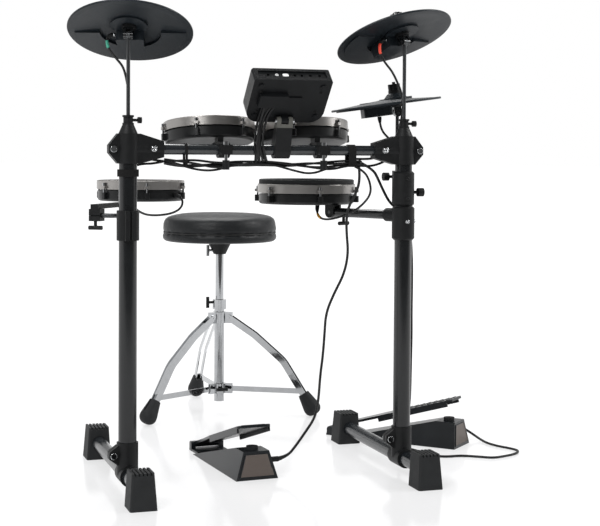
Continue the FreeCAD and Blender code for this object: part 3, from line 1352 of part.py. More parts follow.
def snare():
    """Pad on a forked plate that tilts on the arm's knuckle; the arm's sleeve swings on the right column."""
    pivot_y = "-snare_reach"
    ear_x = "snare_knuckle_width / 2 + side_gap + snare_ear_width / 2"
    radius = "snare_knuckle_diameter / 2"
    ears = []
    for side in ("-", ""):
        ears.append(fuse(box("snare_ear_width", "snare_knuckle_diameter", "snare_arm_drop",
                             f"{side}({ear_x})", pivot_y, "-snare_arm_drop"),
                         cylinder("snare_knuckle_diameter", "snare_ear_width",
                                  f"{side}({ear_x}) - snare_ear_width / 2", pivot_y,
                                  "-snare_arm_drop", ALONG_X)))
    bore = [cylinder("snare_pin_diameter + 2 * pin_gap", "4 * snare_ear_width + snare_knuckle_width",
                     "-2 * snare_ear_width - snare_knuckle_width / 2", pivot_y, "-snare_arm_drop", ALONG_X)
            for _ in ears]
    forks = [cut(ear, hole) for ear, hole in zip(ears, bore)]
    turn = about(Z, "snare_turn")
    drum("snare", "snare", group(drum_shell("snare", False), *forks), "snare_x", "snare_y", snare_height,
         turn)

    body = new_body("snare_sleeve")
    barrel_sleeve(body, "snare_sleeve_diameter", "snare_sleeve_length")
    pivot = Vector(amount("snare_x - column_spacing / 2"), amount("snare_y"), 0) \
        + turn.multVec(Vector(0, amount(pivot_y), 0))
    level = Vector(0, 0, amount("snare_arm_level"))
    way = Vector(pivot).normalize()
    along = Rotation(Z, way)
    span = pivot.Length
    socket = cylinder("snare_socket_diameter", "snare_socket_reach")
    socket.Placement = Placement(level, along)
    sleeve = cut(fuse(body, socket),
                 cylinder("column_diameter + 2 * running_gap", "snare_sleeve_length + 2 * overrun", "0", "0",
                          "-overrun"))
    rod = cylinder("snare_arm_diameter", "snare_socket_reach")
    start = amount("snare_sleeve_diameter / 2 - overrun")
    rod.setExpression("Height", None)
    rod.Height = span - start - amount(f"{radius} + overrun")
    rod.Placement = Placement(way * start + level, along)
    hole = cylinder("snare_arm_diameter + 2 * grip_gap", "snare_socket_reach")
    hole.Placement = Placement(way * (start - amount("grip_gap")) + level, along)
    across = turn.multVec(X)
    knuckle = cylinder("snare_knuckle_diameter", "snare_knuckle_width")
    knuckle.Placement = Placement(pivot + level - across * amount("snare_knuckle_width / 2"),
                                  Rotation(Z, across))
    width = "snare_knuckle_width + 2 * side_gap + 2 * snare_ear_width"
    axle = cylinder("snare_pin_diameter", width)
    axle.Placement = Placement(pivot + level - across * amount(f"({width}) / 2"), Rotation(Z, across))
    neck = cylinder("snare_knuckle_width - 2 * side_gap", "snare_knuckle_diameter")
    neck.Placement = Placement(pivot + level - way * amount("snare_knuckle_diameter"), along)
    reach = fuse(rod, neck, knuckle, axle)
    screw = wing_bolt("0", "0", "0")
    spot = pivot - way * amount("snare_wing_place")
    screw.Placement = Placement(spot + level - Vector(0, 0, amount("snare_arm_diameter / 2")), turn)
    node("snare_arm", group(cut(sleeve, hole), reach, screw), "column_spacing / 2", "0", snare_sleeve_height)


# Sound module


def module_case():
    """Tilted desk housing: connector strip on its far edge, panel with screen, wells and dial shaft hole."""
    body = new_body("module_case")
    half, deep, thick = "module_width / 2", "module_depth / 2", "module_thickness / 2"
    shape = outline(sketch(body, "XY_Plane", f"-{thick}"), [
        (f"-{half}", f"-{deep}", "module_near_corner"), (half, f"-{deep}", "module_near_corner"),
        (half, deep, "module_far_corner"), (f"-{half}", deep, "module_far_corner")])
    pad(body, shape, "module_thickness")
    strip = block_outline(sketch(body, "XZ_Plane", deep), "module_strip_width", "-module_strip_height / 2",
                          "module_strip_height / 2")
    pocket(body, strip, "module_strip_depth")
    port_x = f"{SHARES['port_place_share']} * module_width"
    port = outline(sketch(body, "XZ_Plane", deep), [
        (f"{port_x} - port_width / 2", "-port_height / 2"),
                                                    (f"{port_x} + port_width / 2", "-port_height / 2"),
        (f"{port_x} + port_width / 2", "port_height / 2"),
                                                    (f"{port_x} - port_width / 2", "port_height / 2")])
    pocket(body, port, "module_strip_depth + port_sink")
    screen = outline(sketch(body, "XY_Plane", thick), [
        ("screen_x - screen_width / 2", "screen_y - screen_depth / 2"),
                                                       ("screen_x + screen_width / 2",
                                                        "screen_y - screen_depth / 2"),
        ("screen_x + screen_width / 2", "screen_y + screen_depth / 2"),
                                                       ("screen_x - screen_width / 2",
                                                        "screen_y + screen_depth / 2")])
    pocket(body, screen, "screen_sink")
    shaft = circle(sketch(body, "XY_Plane", thick), "dial_shaft_diameter / 2 + pin_gap", "dial_x", "dial_y")
    pocket(body, shaft, "dial_shaft_length + overrun")
    wells = sketch(body, "XY_Plane", thick)
    for i in range(BUTTONS):
        middle = f"button_x + {i} * button_pitch"
        wide, tall = "(button_width / 2 + button_gap)", "(button_depth / 2 + button_gap)"
        outline(wells, [(f"{middle} - {wide}", f"button_y - {tall}"),
                        (f"{middle} + {wide}", f"button_y - {tall}"),
                        (f"{middle} + {wide}", f"button_y + {tall}"),
                        (f"{middle} - {wide}", f"button_y + {tall}")])
    pocket(body, wells, "button_sink + button_travel + button_gap")
    # Mounting plate, rubber feet and hinge tongue below
    hinge_y, hinge_z = module_hinge()
    tongue_x = "hinge_x - module_x"
    plate = outline(sketch(body, "XY_Plane", f"-{thick}"), [
        (f"{tongue_x} - plate_width / 2", f"{hinge_y} - plate_depth", "overrun"),
                                                            (f"{tongue_x} + plate_width / 2",
                                                             f"{hinge_y} - plate_depth", "overrun"),
        (f"{tongue_x} + plate_width / 2", hinge_y, "overrun"),
                                                            (f"{tongue_x} - plate_width / 2", hinge_y,
                                                             "overrun")])
    pad(body, plate, "plate_height", back=True)
    plug = outline(sketch(body, "XY_Plane", f"-{thick}"), [
        ("plug_block_x - plug_block_width / 2", "plug_block_y - plug_block_depth"),
        ("plug_block_x + plug_block_width / 2", "plug_block_y - plug_block_depth"),
        ("plug_block_x + plug_block_width / 2", "plug_block_y"),
                                                           ("plug_block_x - plug_block_width / 2",
                                                            "plug_block_y")])
    pad(body, plug, "plug_block_height", back=True)
    feet = sketch(body, "XY_Plane", f"-{thick}")
    for sx in ("-", ""):
        for sy in ("-", ""):
            circle(feet, "module_foot_diameter / 2", f"{sx}({half} - module_foot_inset)",
                   f"{sy}({deep} - module_foot_inset)")
    pad(body, feet, "module_foot_height", back=True)
    tongue = outline(sketch(body, "YZ_Plane", tongue_x), [
        (f"{hinge_y} - hinge_diameter / 2", f"{hinge_z} - hinge_diameter / 2",
         "hinge_diameter / 2 - grip_gap"),
        (f"{hinge_y} + hinge_diameter / 2", f"{hinge_z} - hinge_diameter / 2",
         "hinge_diameter / 2 - grip_gap"),
        (f"{hinge_y} + hinge_diameter / 2", f"-{thick} + overrun"),
                                                          (f"{hinge_y} - hinge_diameter / 2",
                                                           f"-{thick} + overrun")])
    pad(body, tongue, "hinge_tongue_width", middle=True)
    hole = circle(sketch(body, "YZ_Plane", tongue_x), "hinge_pin_diameter / 2 + pin_gap", hinge_y, hinge_z)
    pocket(body, hole, "hinge_tongue_width + overrun", middle=True)
    node("module_case", group(*socket_row(body)), "module_x", "module_y", module_height,
         about(X, "-module_tilt"))


def socket_row(body):
    """The housing with its far edge divided off into socket blocks, one for each socket and the port."""
    edges = [f"({share}) * module_width" for share in SHARES["socket_edge_shares"]]
    middle, low = "(socket_depth - overrun - module_depth) / 2", "-module_thickness / 2"
    case = cut(body, box(f"{edges[-1]} - {edges[0]}", "socket_depth + overrun", "module_thickness",
                         f"({edges[-1]} + {edges[0]}) / 2", middle, low))
    blocks = []
    for first, last in zip(edges, edges[1:]):
        blocks.append(common(body, box(f"{last} - {first}", "socket_depth + overrun", "module_thickness",
                                       f"({last} + {first}) / 2", middle, low)))
    for number, share in zip(SOCKET_BLOCKS, SHARES["jack_place_shares"]):
        bore = cylinder("jack_diameter", "jack_depth + overrun", f"({share}) * module_width",
                        "-module_depth / 2 - overrun", "0", ALONG_Y)
        blocks[number] = cut(blocks[number], bore)
    return [case, *blocks]


def module_hinge():
    """The hinge line in the module's own frame, from its place above the crossbar."""
    y, z = "(hinge_y - module_y)", "(hinge_rise - module_rise)"
    return (f"({y} * cos(module_tilt) - {z} * sin(module_tilt))",
            f"({y} * sin(module_tilt) + {z} * cos(module_tilt))")


def module_place(x, y, z):
    """Kit place of a spot in the module's own frame."""
    return (f"module_x + {x}", f"module_y + ({y}) * cos(module_tilt) + ({z}) * sin(module_tilt)",
            f"{module_height} - ({y}) * sin(module_tilt) + ({z}) * cos(module_tilt)")


def module_controls():
    tilt = about(X, "-module_tilt")
    top = "module_thickness / 2"
    dial = new_body("module_dial")
    pad(dial, circle(sketch(dial, "XY_Plane", "dial_gap"), "dial_diameter / 2"), "dial_height")
    grip = pocket(dial, circle(sketch(dial, "XY_Plane", "2 * dial_gap + overrun"), "dial_grip_diameter / 2",
                               "dial_diameter / 2"),
                  "dial_height", back=True)
    around(dial, [grip], DIAL_FLUTES)
    pad(dial, circle(sketch(dial, "XY_Plane", "dial_gap"), "dial_shaft_diameter / 2"), "dial_shaft_length",
        back=True)
    node("module_dial", dial, *module_place("dial_x", "dial_y", top), tilt)
    for i in range(BUTTONS):
        button = new_body("module_button")
        shape = block_outline(sketch(button, "XY_Plane", "-button_sink"), "button_width",
                              "-button_depth / 2",
                              "button_depth / 2", "button_round")
        pad(button, shape, "button_sink + button_rise")
        node(f"module_button_{i + 1}", button,
             *module_place(f"button_x + {i} * button_pitch", "button_y", top), tilt)


def module_bracket():
    """Clamp ring on the crossbar with two upright ears and the hinge pin."""
    body = new_body("module_bracket")
    width = "hinge_tongue_width + 2 * side_gap + 2 * hinge_ear_width"
    pad(body, circle(sketch(body, "YZ_Plane"), "bracket_ring_diameter / 2"), width, middle=True)
    ear = "hinge_diameter / 2"
    upright = outline(sketch(body, "YZ_Plane"), [
        ("-bracket_ring_diameter / 2", "0"), ("bracket_ring_diameter / 2", "0"),
        (f"hinge_y + {ear}", "hinge_rise"), (f"hinge_y - {ear}", "hinge_rise")])
    pad(body, upright, width, middle=True)
    pad(body, circle(sketch(body, "YZ_Plane"), ear, "hinge_y", "hinge_rise"), width, middle=True)
    pocket(body, circle(sketch(body, "YZ_Plane"), "crossbar_diameter / 2 + grip_gap"), f"{width} + overrun",
           middle=True)
    gap_low = "hinge_rise - hinge_diameter / 2 - 2 * side_gap"
    gap = outline(sketch(body, "YZ_Plane"), [
        ("-bracket_ring_diameter - hinge_diameter", gap_low), ("bracket_ring_diameter", gap_low),
        ("bracket_ring_diameter", "hinge_rise + hinge_diameter"),
                                             ("-bracket_ring_diameter - hinge_diameter",
                                              "hinge_rise + hinge_diameter")])
    pocket(body, gap, "hinge_tongue_width + 2 * side_gap", middle=True)
    hole = circle(sketch(body, "YZ_Plane"), "hinge_pin_diameter / 2 + pin_gap", "hinge_y", "hinge_rise")
    pocket(body, hole, f"{width} + overrun", middle=True)
    start = f"-({width}) / 2 - mount_pin_head_height"
    axle = fuse(cylinder("hinge_pin_diameter", f"{width} + 2 * mount_pin_head_height", start, "hinge_y",
                         "hinge_rise", ALONG_X),
                cylinder("hinge_pin_head", "mount_pin_head_height", start, "hinge_y", "hinge_rise", ALONG_X),
                cylinder("hinge_pin_head", "mount_pin_head_height", f"({width}) / 2", "hinge_y",
                         "hinge_rise", ALONG_X))
    room = box(f"{width} + 2 * overrun", "4 * bracket_ring_diameter", "bracket_seam + bracket_ring_diameter",
               "0", "0",
               "-bracket_ring_diameter")
    node("module_bracket", group(common(body, room), cut(body, room), axle), "hinge_x", "0",
         "crossbar_height")


# Pedals


def pedal_base():
    """Wedge housing with heel plate, hinge lugs with their axle, rubber pad on top and the lead's plug."""
    wedge = doc.addObject("Part::Wedge", "pedal_wedge")
    bind(wedge, Xmin="-pedal_bottom_width / 2", Xmax="pedal_bottom_width / 2", Zmin="-pedal_wedge_length",
         Zmax="0",
         X2min="-pedal_top_width / 2", X2max="pedal_top_width / 2", Z2min="-pedal_top_back",
         Z2max="-pedal_top_front",
         Ymin="0", Ymax="pedal_height")
    wedge.Placement = Placement(Vector(), Rotation(X, 90))
    heel = box("pedal_heel_width", "pedal_heel_length", "pedal_heel_height", "0",
               "pedal_length - pedal_heel_length / 2")
    hinge_y = "pedal_length - pedal_hinge_back"
    lugs, inner = [], "board_heel_width / 2 + side_gap"
    for side in ("-", ""):
        middle = f"{side}({inner} + pedal_lug_width / 2)"
        lugs.append(box("pedal_lug_width", "pedal_hinge_diameter", "pedal_hinge_height", middle, hinge_y))
        lugs.append(cylinder("pedal_hinge_diameter", "pedal_lug_width", f"{middle} - pedal_lug_width / 2",
                             hinge_y,
                             "pedal_hinge_height", ALONG_X))
    width = f"2 * ({inner} + pedal_lug_width)"
    axle = cylinder("pedal_pin_diameter", width, f"-({width}) / 2", hinge_y, "pedal_hinge_height", ALONG_X)
    bumper = cylinder("pedal_pad_diameter", "pedal_pad_height", "0", "pedal_pad_place", "pedal_height")
    slope = "(pedal_bottom_width - pedal_top_width) / 2 / pedal_height"
    side_x = f"pedal_bottom_width / 2 - plug_height * {slope}"
    plug = cylinder("plug_diameter", "plug_length + plug_diameter", f"{side_x} - plug_diameter",
                    "plug_place", "plug_height", ALONG_X)
    socket = cylinder("plug_diameter + 2 * grip_gap", "plug_length + 2 * plug_diameter",
                      f"{side_x} - plug_diameter - grip_gap",
                      "plug_place", "plug_height", ALONG_X)
    return group(cut(fuse(wedge, heel, *lugs, axle), socket), bumper, plug)


def footboard():
    """Tapered tread plate with side ribs, cross treads and a heel hinge barrel, drawn flat."""
    body = new_body("footboard")
    reach = "pedal_length - pedal_hinge_back"
    toe, heel = "board_width / 2", "board_heel_width / 2"
    flat = outline(sketch(body, "XY_Plane"), [
        (f"-{toe}", f"-({reach})", "board_corner"), (toe, f"-({reach})", "board_corner"),
        (toe, "-pedal_heel_length - board_width"), (heel, "-pedal_heel_length"), (heel, "0"),
        (f"-{heel}", "0"), (f"-{heel}", "-pedal_heel_length"),
                                              (f"-{toe}", "-pedal_heel_length - board_width")])
    pad(body, flat, "board_thickness")
    ribs = sketch(body, "XY_Plane")
    for side in ("-", ""):
        edge, inside = f"{side}{toe}", f"{side}({toe} - board_rib_width)"
        outline(ribs, [(edge, f"-({reach}) + board_corner"), (inside, f"-({reach}) + board_corner"),
                       (inside, "-pedal_heel_length - board_width"),
                       (edge, "-pedal_heel_length - board_width")])
    pad(body, ribs, "board_rib_height", back=True)
    treads = sketch(body, "XY_Plane", "board_thickness")
    for i in range(TREADS):
        low = f"-({reach}) + board_corner + {i} * board_tread_pitch"
        outline(treads, [(f"-{toe} + board_corner", low), (f"{toe} - board_corner", low),
                         (f"{toe} - board_corner", f"{low} + board_tread_width"),
                         (f"-{toe} + board_corner", f"{low} + board_tread_width")])
    pad(body, treads, "board_tread_height")
    barrel = circle(sketch(body, "YZ_Plane"), "pedal_hinge_diameter / 2")
    pad(body, barrel, "board_heel_width", middle=True)
    bore = circle(sketch(body, "YZ_Plane"), "pedal_pin_diameter / 2 + pin_gap")
    pocket(body, bore, "board_heel_width + overrun", middle=True)
    return body


def pedals():
    for name, x, y, turn in (("kick", "kick_x", "kick_y", "kick_turn"),
                             ("hihat", "hihat_pedal_x", "hihat_pedal_y", "hihat_pedal_turn")):
        way = about(Z, turn)
        node(f"{name}_base", pedal_base(), x, y, "0", way)
        reach = "(pedal_length - pedal_hinge_back)"
        node(f"{name}_footboard", footboard(), f"{x} - {reach} * sin({turn})",
             f"{y} + {reach} * cos({turn})",
             "pedal_hinge_height", way.multiply(about(X, "-board_lean")))


# Throne


def throne_seat():
    """Round cushion with a crown and two swells round a pinched seam, on a flat plate."""
    body = new_body("seat")
    edge, low = "seat_diameter / 2", "seat_plate_thickness"
    top = "seat_thickness"
    revolve(body, outline(sketch(body, "XZ_Plane"), [
        ("0", low), (f"{edge} - seat_crown", low, "seat_round / 2"),
                                                     (edge, "seat_pinch_height / 2", "seat_round"),
        (f"{edge} - seat_pinch", "seat_pinch_height", "seat_pinch"),
        (edge, "(seat_pinch_height + seat_thickness) / 2", "seat_round"),
        (f"{edge} - seat_round", f"{top} - seat_dome", "seat_round"), ("0", top)]))
    plate = cylinder("seat_plate_diameter", "seat_plate_thickness")
    node("seat", group(body, plate), "throne_x", "throne_y", seat_bottom)


def seat_hub():
    """Cone below the seat that sits on the post, with its wing screw."""
    cap = cone("cone_bottom_diameter", "cone_top_diameter", "cone_height")
    bored = cut(cap, cylinder("post_diameter + 2 * running_gap", "cone_height - post_socket_gap + overrun",
                              "0", "0", "-overrun"))
    bored = cut(bored, cylinder("wing_shank_diameter + 2 * grip_gap", "cone_top_diameter", "0", "0",
                                "cone_height / 3",
                                Rotation(Y, -90)))
    screw = wing_bolt("-post_diameter / 2 - running_gap - grip_gap", "0", "cone_height / 3", Rotation(Y, 90),
                      "cone_screw_length")
    node("seat_hub", group(bored, screw), "throne_x", "throne_y", f"{seat_bottom} - cone_height")


def seat_post():
    length = f"{seat_bottom} - post_socket_gap - {post_foot_height}"
    node("seat_post", cylinder("post_diameter", length), "throne_x", "throne_y", post_foot_height)


def spoke(number):
    """Turn of a leg or brace about the throne's post."""
    return Rotation(Z, 90 + 360 * number / LEGS)


def ring_hub(bore, length, low, tongue, slot=None):
    """Hub on the base tube with a tongue, slotted for a brace, and a pin for each leg or brace."""
    parts, slots = [cylinder("leg_hub_diameter", length, "0", "0", low)], []
    middle = amount(low) + amount(length) / 2
    pin_length = tongue if slot else "leg_strip_gap + 2 * leg_strip_thickness + overrun"
    for i in range(LEGS):
        way = spoke(i)
        lug = doc.addObject("Part::Box", "hub_tongue")
        bind(lug, Length="hub_lug_reach", Width=tongue, Height=length)
        lug.Placement = Placement(way.multVec(Vector(0, -amount(tongue) / 2, 0)) + Vector(0, 0, amount(low)),
                                  way)
        axle = cylinder("leg_pin_diameter", pin_length)
        start = way.multVec(Vector(amount("leg_pivot_radius"), -amount(pin_length) / 2, 0)) + Vector(0, 0,
                                                                                                     middle)
        axle.Placement = Placement(start, way.multiply(ALONG_Y))
        parts += [lug, axle]
        if slot:
            gap = doc.addObject("Part::Box", "hub_slot")
            bind(gap, Length="hub_lug_reach", Width=slot, Height=f"{length} + 2 * overrun")
            corner = Vector(amount("leg_hub_diameter / 2 - overrun / 2"), -amount(slot) / 2, 0)
            gap.Placement = Placement(way.multVec(corner) + Vector(0, 0, amount(low) - amount("overrun")),
                                      way)
            slots.append(gap)
    hole = cylinder(bore, f"{length} + 2 * overrun", "0", "0", f"{low} - overrun")
    if not slot:
        return cut(fuse(*parts), hole)
    pins = [part for part in parts if part.Name.startswith("cylinder")][1:]
    blank = cut(fuse(*[part for part in parts if part not in pins]), hole, *slots)
    return fuse(blank, *pins)


def throne_base():
    """Base tube with the wing-bolt collar at its mouth and the hub that the legs turn on."""
    height = "base_tube_top - base_tube_bottom"
    bore = "post_diameter + 2 * running_gap"
    shaft = cut(cylinder("base_tube_diameter", height, "0", "0", "base_tube_bottom"),
                cylinder(bore, f"{height} + overrun", "0", "0", "base_tube_bottom + overrun"))
    ring = cut(cylinder("collar_ring_diameter", "collar_ring_height", "0", "0",
                        "base_tube_top - collar_ring_height / 2"),
               cylinder(bore, "2 * collar_ring_height", "0", "0", "base_tube_top - collar_ring_height"),
               cylinder("base_tube_diameter + 2 * grip_gap", "collar_ring_height", "0", "0",
                        "base_tube_top - collar_ring_height"))
    screw = put(wing_bolt("0", "0", "0"), "-collar_ring_diameter / 2", "0",
                "base_tube_top + collar_ring_height / 5", Rotation(Y, 90))
    hub = ring_hub("base_tube_diameter + 2 * grip_gap", "leg_hub_length",
                   f"{leg_hub_height} - leg_hub_length / 2",
                   "leg_strip_gap - 2 * side_gap")
    node("throne_base", group(shaft, ring, screw, hub), "throne_x", "throne_y", "0", about(Z, "throne_turn"))


def brace_hub():
    """Sliding hub for the braces, with its small wing screw."""
    slot = "brace_thickness + 2 * side_gap"
    hub = ring_hub("base_tube_diameter + 2 * running_gap", "brace_hub_length", "-brace_hub_length / 2",
                   f"{slot} + 2 * brace_cheek", slot)
    screw = put(wing_bolt("0", "0", "0"), "0", "-leg_hub_diameter / 2", "0", Rotation(X, -90))
    node("brace_hub", group(hub, screw), "throne_x", "throne_y", "brace_hub_height", about(Z, "throne_turn"))


def flat_strip(spots, bends, width, thickness, side):
    """Flat bar on edge along runs and tangent arcs in the x-z plane, with round ends and a pivot hole."""
    edges, start = [], spots[0]
    for i, bend in enumerate(bends, start=1):
        first, middle, last = corner_cut(spots[i - 1], spots[i], spots[i + 1], bend)
        edges += [Part.LineSegment(start, first).toShape(), Part.Arc(first, middle, last).toShape()]
        start = last
    edges.append(Part.LineSegment(start, spots[-1]).toShape())
    way = (spots[1] - spots[0]).normalize()
    side_way = Vector(-way.z, 0, way.x) * (width / 2)
    deep = Vector(0, thickness, 0)
    section = Part.makePolygon([side_way, side_way + deep, deep - side_way, -side_way, side_way])
    bar = Part.Wire(edges).makePipeShell([section], True, False)
    bar = bar.fuse(Part.makeCylinder(width / 2, thickness, Vector(), Y))
    if not bends:
        bar = bar.fuse(Part.makeCylinder(width / 2, thickness, spots[-1], Y))
    hole = Part.makeCylinder(amount("leg_pin_diameter / 2 + pin_gap"), thickness, Vector(), Y)
    made = doc.addObject("Part::Feature", "flat_strip")
    made.Shape = bar.cut(hole).removeSplitter()
    made.Placement = Placement(Vector(0, side, 0), Rotation())
    return made


def rubber_boot():
    """Boot that swells from its neck to a rounded toe."""
    body = new_body("rubber_boot")
    wide, swell = "leg_foot_diameter / 2", "leg_foot_length - leg_foot_diameter / 2"
    revolve(body, outline(sketch(body, "XZ_Plane"), [
        ("0", "0"), ("leg_foot_neck / 2", "0"), (wide, swell, "leg_foot_round"),
        (wide, "leg_foot_length", "leg_foot_round"), ("0", "leg_foot_length")]))
    return body


def throne_legs():
    """Bowed double-strip legs in rubber feet, and the flat braces that run between the strips."""
    joint = Vector(amount("leg_joint_radius - leg_pivot_radius"), 0,
                   amount(f"brace_hub_height - {leg_hub_height}"))
    normal = Vector(-joint.z, 0, joint.x).normalize()
    low, high = SHARES["leg_bow_shares"]
    bow = [joint * low + normal * amount("leg_bow") * high, joint * high + normal * amount("leg_bow")]
    toe = Vector(amount("leg_foot_radius - leg_pivot_radius"), 0, 0)
    drop = amount(leg_hub_height)
    for _ in range(LEGS * LEGS):
        way = (toe + Vector(0, 0, -drop if toe.z == 0 else 0) - bow[-1]).normalize()
        flat = amount("leg_foot_diameter / 2 - leg_foot_round")
        toe.z = amount("leg_foot_round") * (1 + way.z) + flat * way.x - drop
    way = (toe - bow[-1]).normalize()
    foot_top = toe - way * amount("leg_foot_length")
    strip_end = foot_top + way * amount("leg_foot_socket - grip_gap")
    spots = [Vector(), *bow, strip_end]
    bends = [amount("leg_bend")] * len(bow)
    for i in range(LEGS):
        near = amount("leg_strip_gap / 2")
        width, thickness = amount("leg_strip_width"), amount("leg_strip_thickness")
        strips = [flat_strip(spots, bends, width, thickness, side) for side in (near, -near - thickness)]
        boot = rubber_boot()
        boot.Placement = Placement(foot_top, Rotation(Z, way))
        slot = Part.makeBox(amount("leg_strip_width + 2 * grip_gap"),
                            2 * (near + thickness + amount("grip_gap")),
                            amount("leg_foot_socket + overrun"))
        socket = doc.addObject("Part::Feature", "foot_socket")
        socket.Shape = slot
        along = Rotation(Y, math.degrees(math.atan2(way.x, way.z)))
        corner = along.multVec(Vector(-amount("leg_strip_width / 2 + grip_gap"),
                                      -(near + thickness + amount("grip_gap")), 0))
        socket.Placement = Placement(foot_top - way * amount("overrun") + corner, along)
        notch = doc.addObject("Part::Feature", "brace_notch")
        wide = amount("brace_thickness + 2 * side_gap")
        side = Vector(-amount("leg_foot_diameter"), -wide / 2, 0)
        notch.Shape = Part.makeBox(amount("leg_foot_diameter + leg_strip_width / 2"), wide,
                                   amount("brace_notch_depth + overrun"), side)
        notch.Placement = Placement(foot_top - way * amount("overrun"), along)
        spot = spoke(i).multVec(Vector(amount("leg_pivot_radius"), 0, 0))
        node(f"leg_{i + 1}", group(*strips, cut(boot, socket, notch)), f"throne_x + {spot.x}",
             f"throne_y + {spot.y}",
             leg_hub_height, spoke(i))
        brace = flat_strip([Vector(), Vector(joint.x, 0, 0)], [], amount("brace_width"),
                           amount("brace_thickness"),
                           -amount("brace_thickness / 2"))
        node(f"brace_{i + 1}", group(brace), f"throne_x + {spot.x}", f"throne_y + {spot.y}",
             "brace_hub_height", spoke(i))


# Leads


def lead(diameter, route):
    """Round lead along a hand-chosen route of straight runs and tangent arcs."""
    spots = [Vector(*spot) for spot in route]
    runs = [(b - a).Length for a, b in zip(spots, spots[1:])]
    bends = []
    for i in range(1, len(spots) - 1):
        back, on = (spots[i - 1] - spots[i]).normalize(), (spots[i + 1] - spots[i]).normalize()
        half = math.acos(max(-1.0, min(1.0, back.dot(on)))) / 2
        bends.append(BEND_SHARE * min(runs[i - 1], runs[i]) * math.tan(half))
    made, length = bent_rod(spots, bends, amount(diameter))
    ideal = math.pi * amount(diameter) ** 2 / 4 * length
    print("lead", round(length), "mm, tightest bend", round(min(bends), 1), "volume share",
          round(made.Shape.Volume / ideal, 4),
          "longest run", round(max(runs)), "steps",
          round(max(max(a / b, b / a) for a, b in zip(runs, runs[1:])), 2))
    return made


def leads():
    for label, diameter, routes in (("crossbar_loom", "loom_diameter", LOOM_ROUTES),
                                    ("pad_leads", "lead_diameter", PAD_ROUTES),
                                    ("kick_cable", "pedal_lead_diameter", [KICK_ROUTE]),
                                    ("hihat_cable", "pedal_lead_diameter", [HIHAT_ROUTE])):
        node(label, group(*[lead(diameter, route) for route in routes]))


def build():
    columns()
    crossbar()
    foot_bars()
    rubber_feet()
    base_clamps()
    top_clamps()
    rack_bolts()
    cable_straps()
    hihat_clamp()
    cymbals()
    rack_toms()
    floor_tom()
    snare()
    module_case()
    module_controls()
    module_bracket()
    pedals()
    throne_seat()
    seat_hub()
    seat_post()
    throne_base()
    brace_hub()
    throne_legs()
    leads()


build()
doc.recompute()
for item in doc.Objects:
    if "Invalid" in item.State or "Error" in item.State:
        print("broken:", item.Name, item.Label, item.State)
os.makedirs("parts", exist_ok=True)
for label, item in nodes.items():
    shape = item.Shape
    if shape.isNull() or not shape.isValid():
        print("no sound shape:", label)
        continue
    shape.exportStep(f"parts/{label}.step")
print(len(nodes), "sub-parts")
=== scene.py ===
import math

import bpy
import numpy as np
from mathutils import Matrix, Vector


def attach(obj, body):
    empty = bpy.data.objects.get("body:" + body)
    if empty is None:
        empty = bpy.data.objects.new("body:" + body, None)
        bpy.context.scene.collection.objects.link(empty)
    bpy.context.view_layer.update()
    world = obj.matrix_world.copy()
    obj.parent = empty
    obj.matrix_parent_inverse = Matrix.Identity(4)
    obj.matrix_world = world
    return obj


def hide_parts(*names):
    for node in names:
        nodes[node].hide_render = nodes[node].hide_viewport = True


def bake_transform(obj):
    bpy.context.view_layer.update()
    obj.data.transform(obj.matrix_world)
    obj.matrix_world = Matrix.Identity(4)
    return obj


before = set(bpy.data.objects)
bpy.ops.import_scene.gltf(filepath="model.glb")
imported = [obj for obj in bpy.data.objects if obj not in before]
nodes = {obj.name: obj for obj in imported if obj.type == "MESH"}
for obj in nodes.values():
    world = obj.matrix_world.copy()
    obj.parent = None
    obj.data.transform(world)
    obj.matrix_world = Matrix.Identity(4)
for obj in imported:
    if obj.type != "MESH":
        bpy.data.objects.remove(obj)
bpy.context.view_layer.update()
scene = bpy.context.scene

# Places below are in millimetres from the rack's middle on the floor; the frame's origin is at this place
rackShift = np.array([83.9, 474.26, 0.0])


def place(points):
    # From millimetres about the rack's middle to metres in the frame
    return (np.atleast_2d(np.array(points, float)) - rackShift) / 1000


def placeOne(point):
    return tuple(place(point)[0])


def measured(spots):
    # The way back, from metres in the frame to millimetres about the rack's middle
    return spots * 1000 + rackShift


def readAll(items, field, width=1, kind=float):
    # One property of all items of a mesh as an array, with a row for each item
    values = np.empty(len(items) * width, kind)
    items.foreach_get(field, values)
    return values.reshape(-1, width) if width > 1 else values


def addNode(tree, kind, links=None, **settings):
    # New shader node; links gives each socket the output that feeds it or a fixed value
    node = tree.nodes.new(kind)
    for name, value in settings.items():
        setattr(node, name, value)
    for socket, source in (links or {}).items():
        if hasattr(source, "is_output"):
            tree.links.new(source, node.inputs[socket])
        else:
            node.inputs[socket].default_value = source
    return node


def mixed(tree, kind, factor, first, second):
    # The mix node has sockets for each kind of value: number of the first input, number of the output
    start, result = {"FLOAT": (2, 0), "VECTOR": (4, 1), "RGBA": (6, 2)}[kind]
    node = addNode(tree, "ShaderNodeMix", {0: factor, start: first, start + 1: second}, data_type=kind)
    return node.outputs[result]


def counted(tree, operation, *values):
    return addNode(tree, "ShaderNodeMath", dict(enumerate(values)), operation=operation).outputs[0]


def ranged(tree, value, before, after=(0.0, 1.0), **settings):
    # Value carried over from one range to another and kept inside it
    ends = {"From Min": before[0], "From Max": before[1], "To Min": after[0], "To Max": after[1]}
    return addNode(tree, "ShaderNodeMapRange", {"Value": value, **ends}, **settings).outputs[0]


def noise(tree, spot, scale, **more):
    return addNode(tree, "ShaderNodeTexNoise", {"Vector": spot, "Scale": scale, **more}).outputs


def bumped(tree, height, strength, distance):
    links = {"Height": height, "Strength": strength, "Distance": distance}
    return addNode(tree, "ShaderNodeBump", links).outputs["Normal"]


# Shared shader effects. Each group gives only values that vary over the surface.
socketKinds = {"Dark": "NodeSocketColor", "Light": "NodeSocketColor", "Color": "NodeSocketColor",
               "Normal": "NodeSocketVector"}


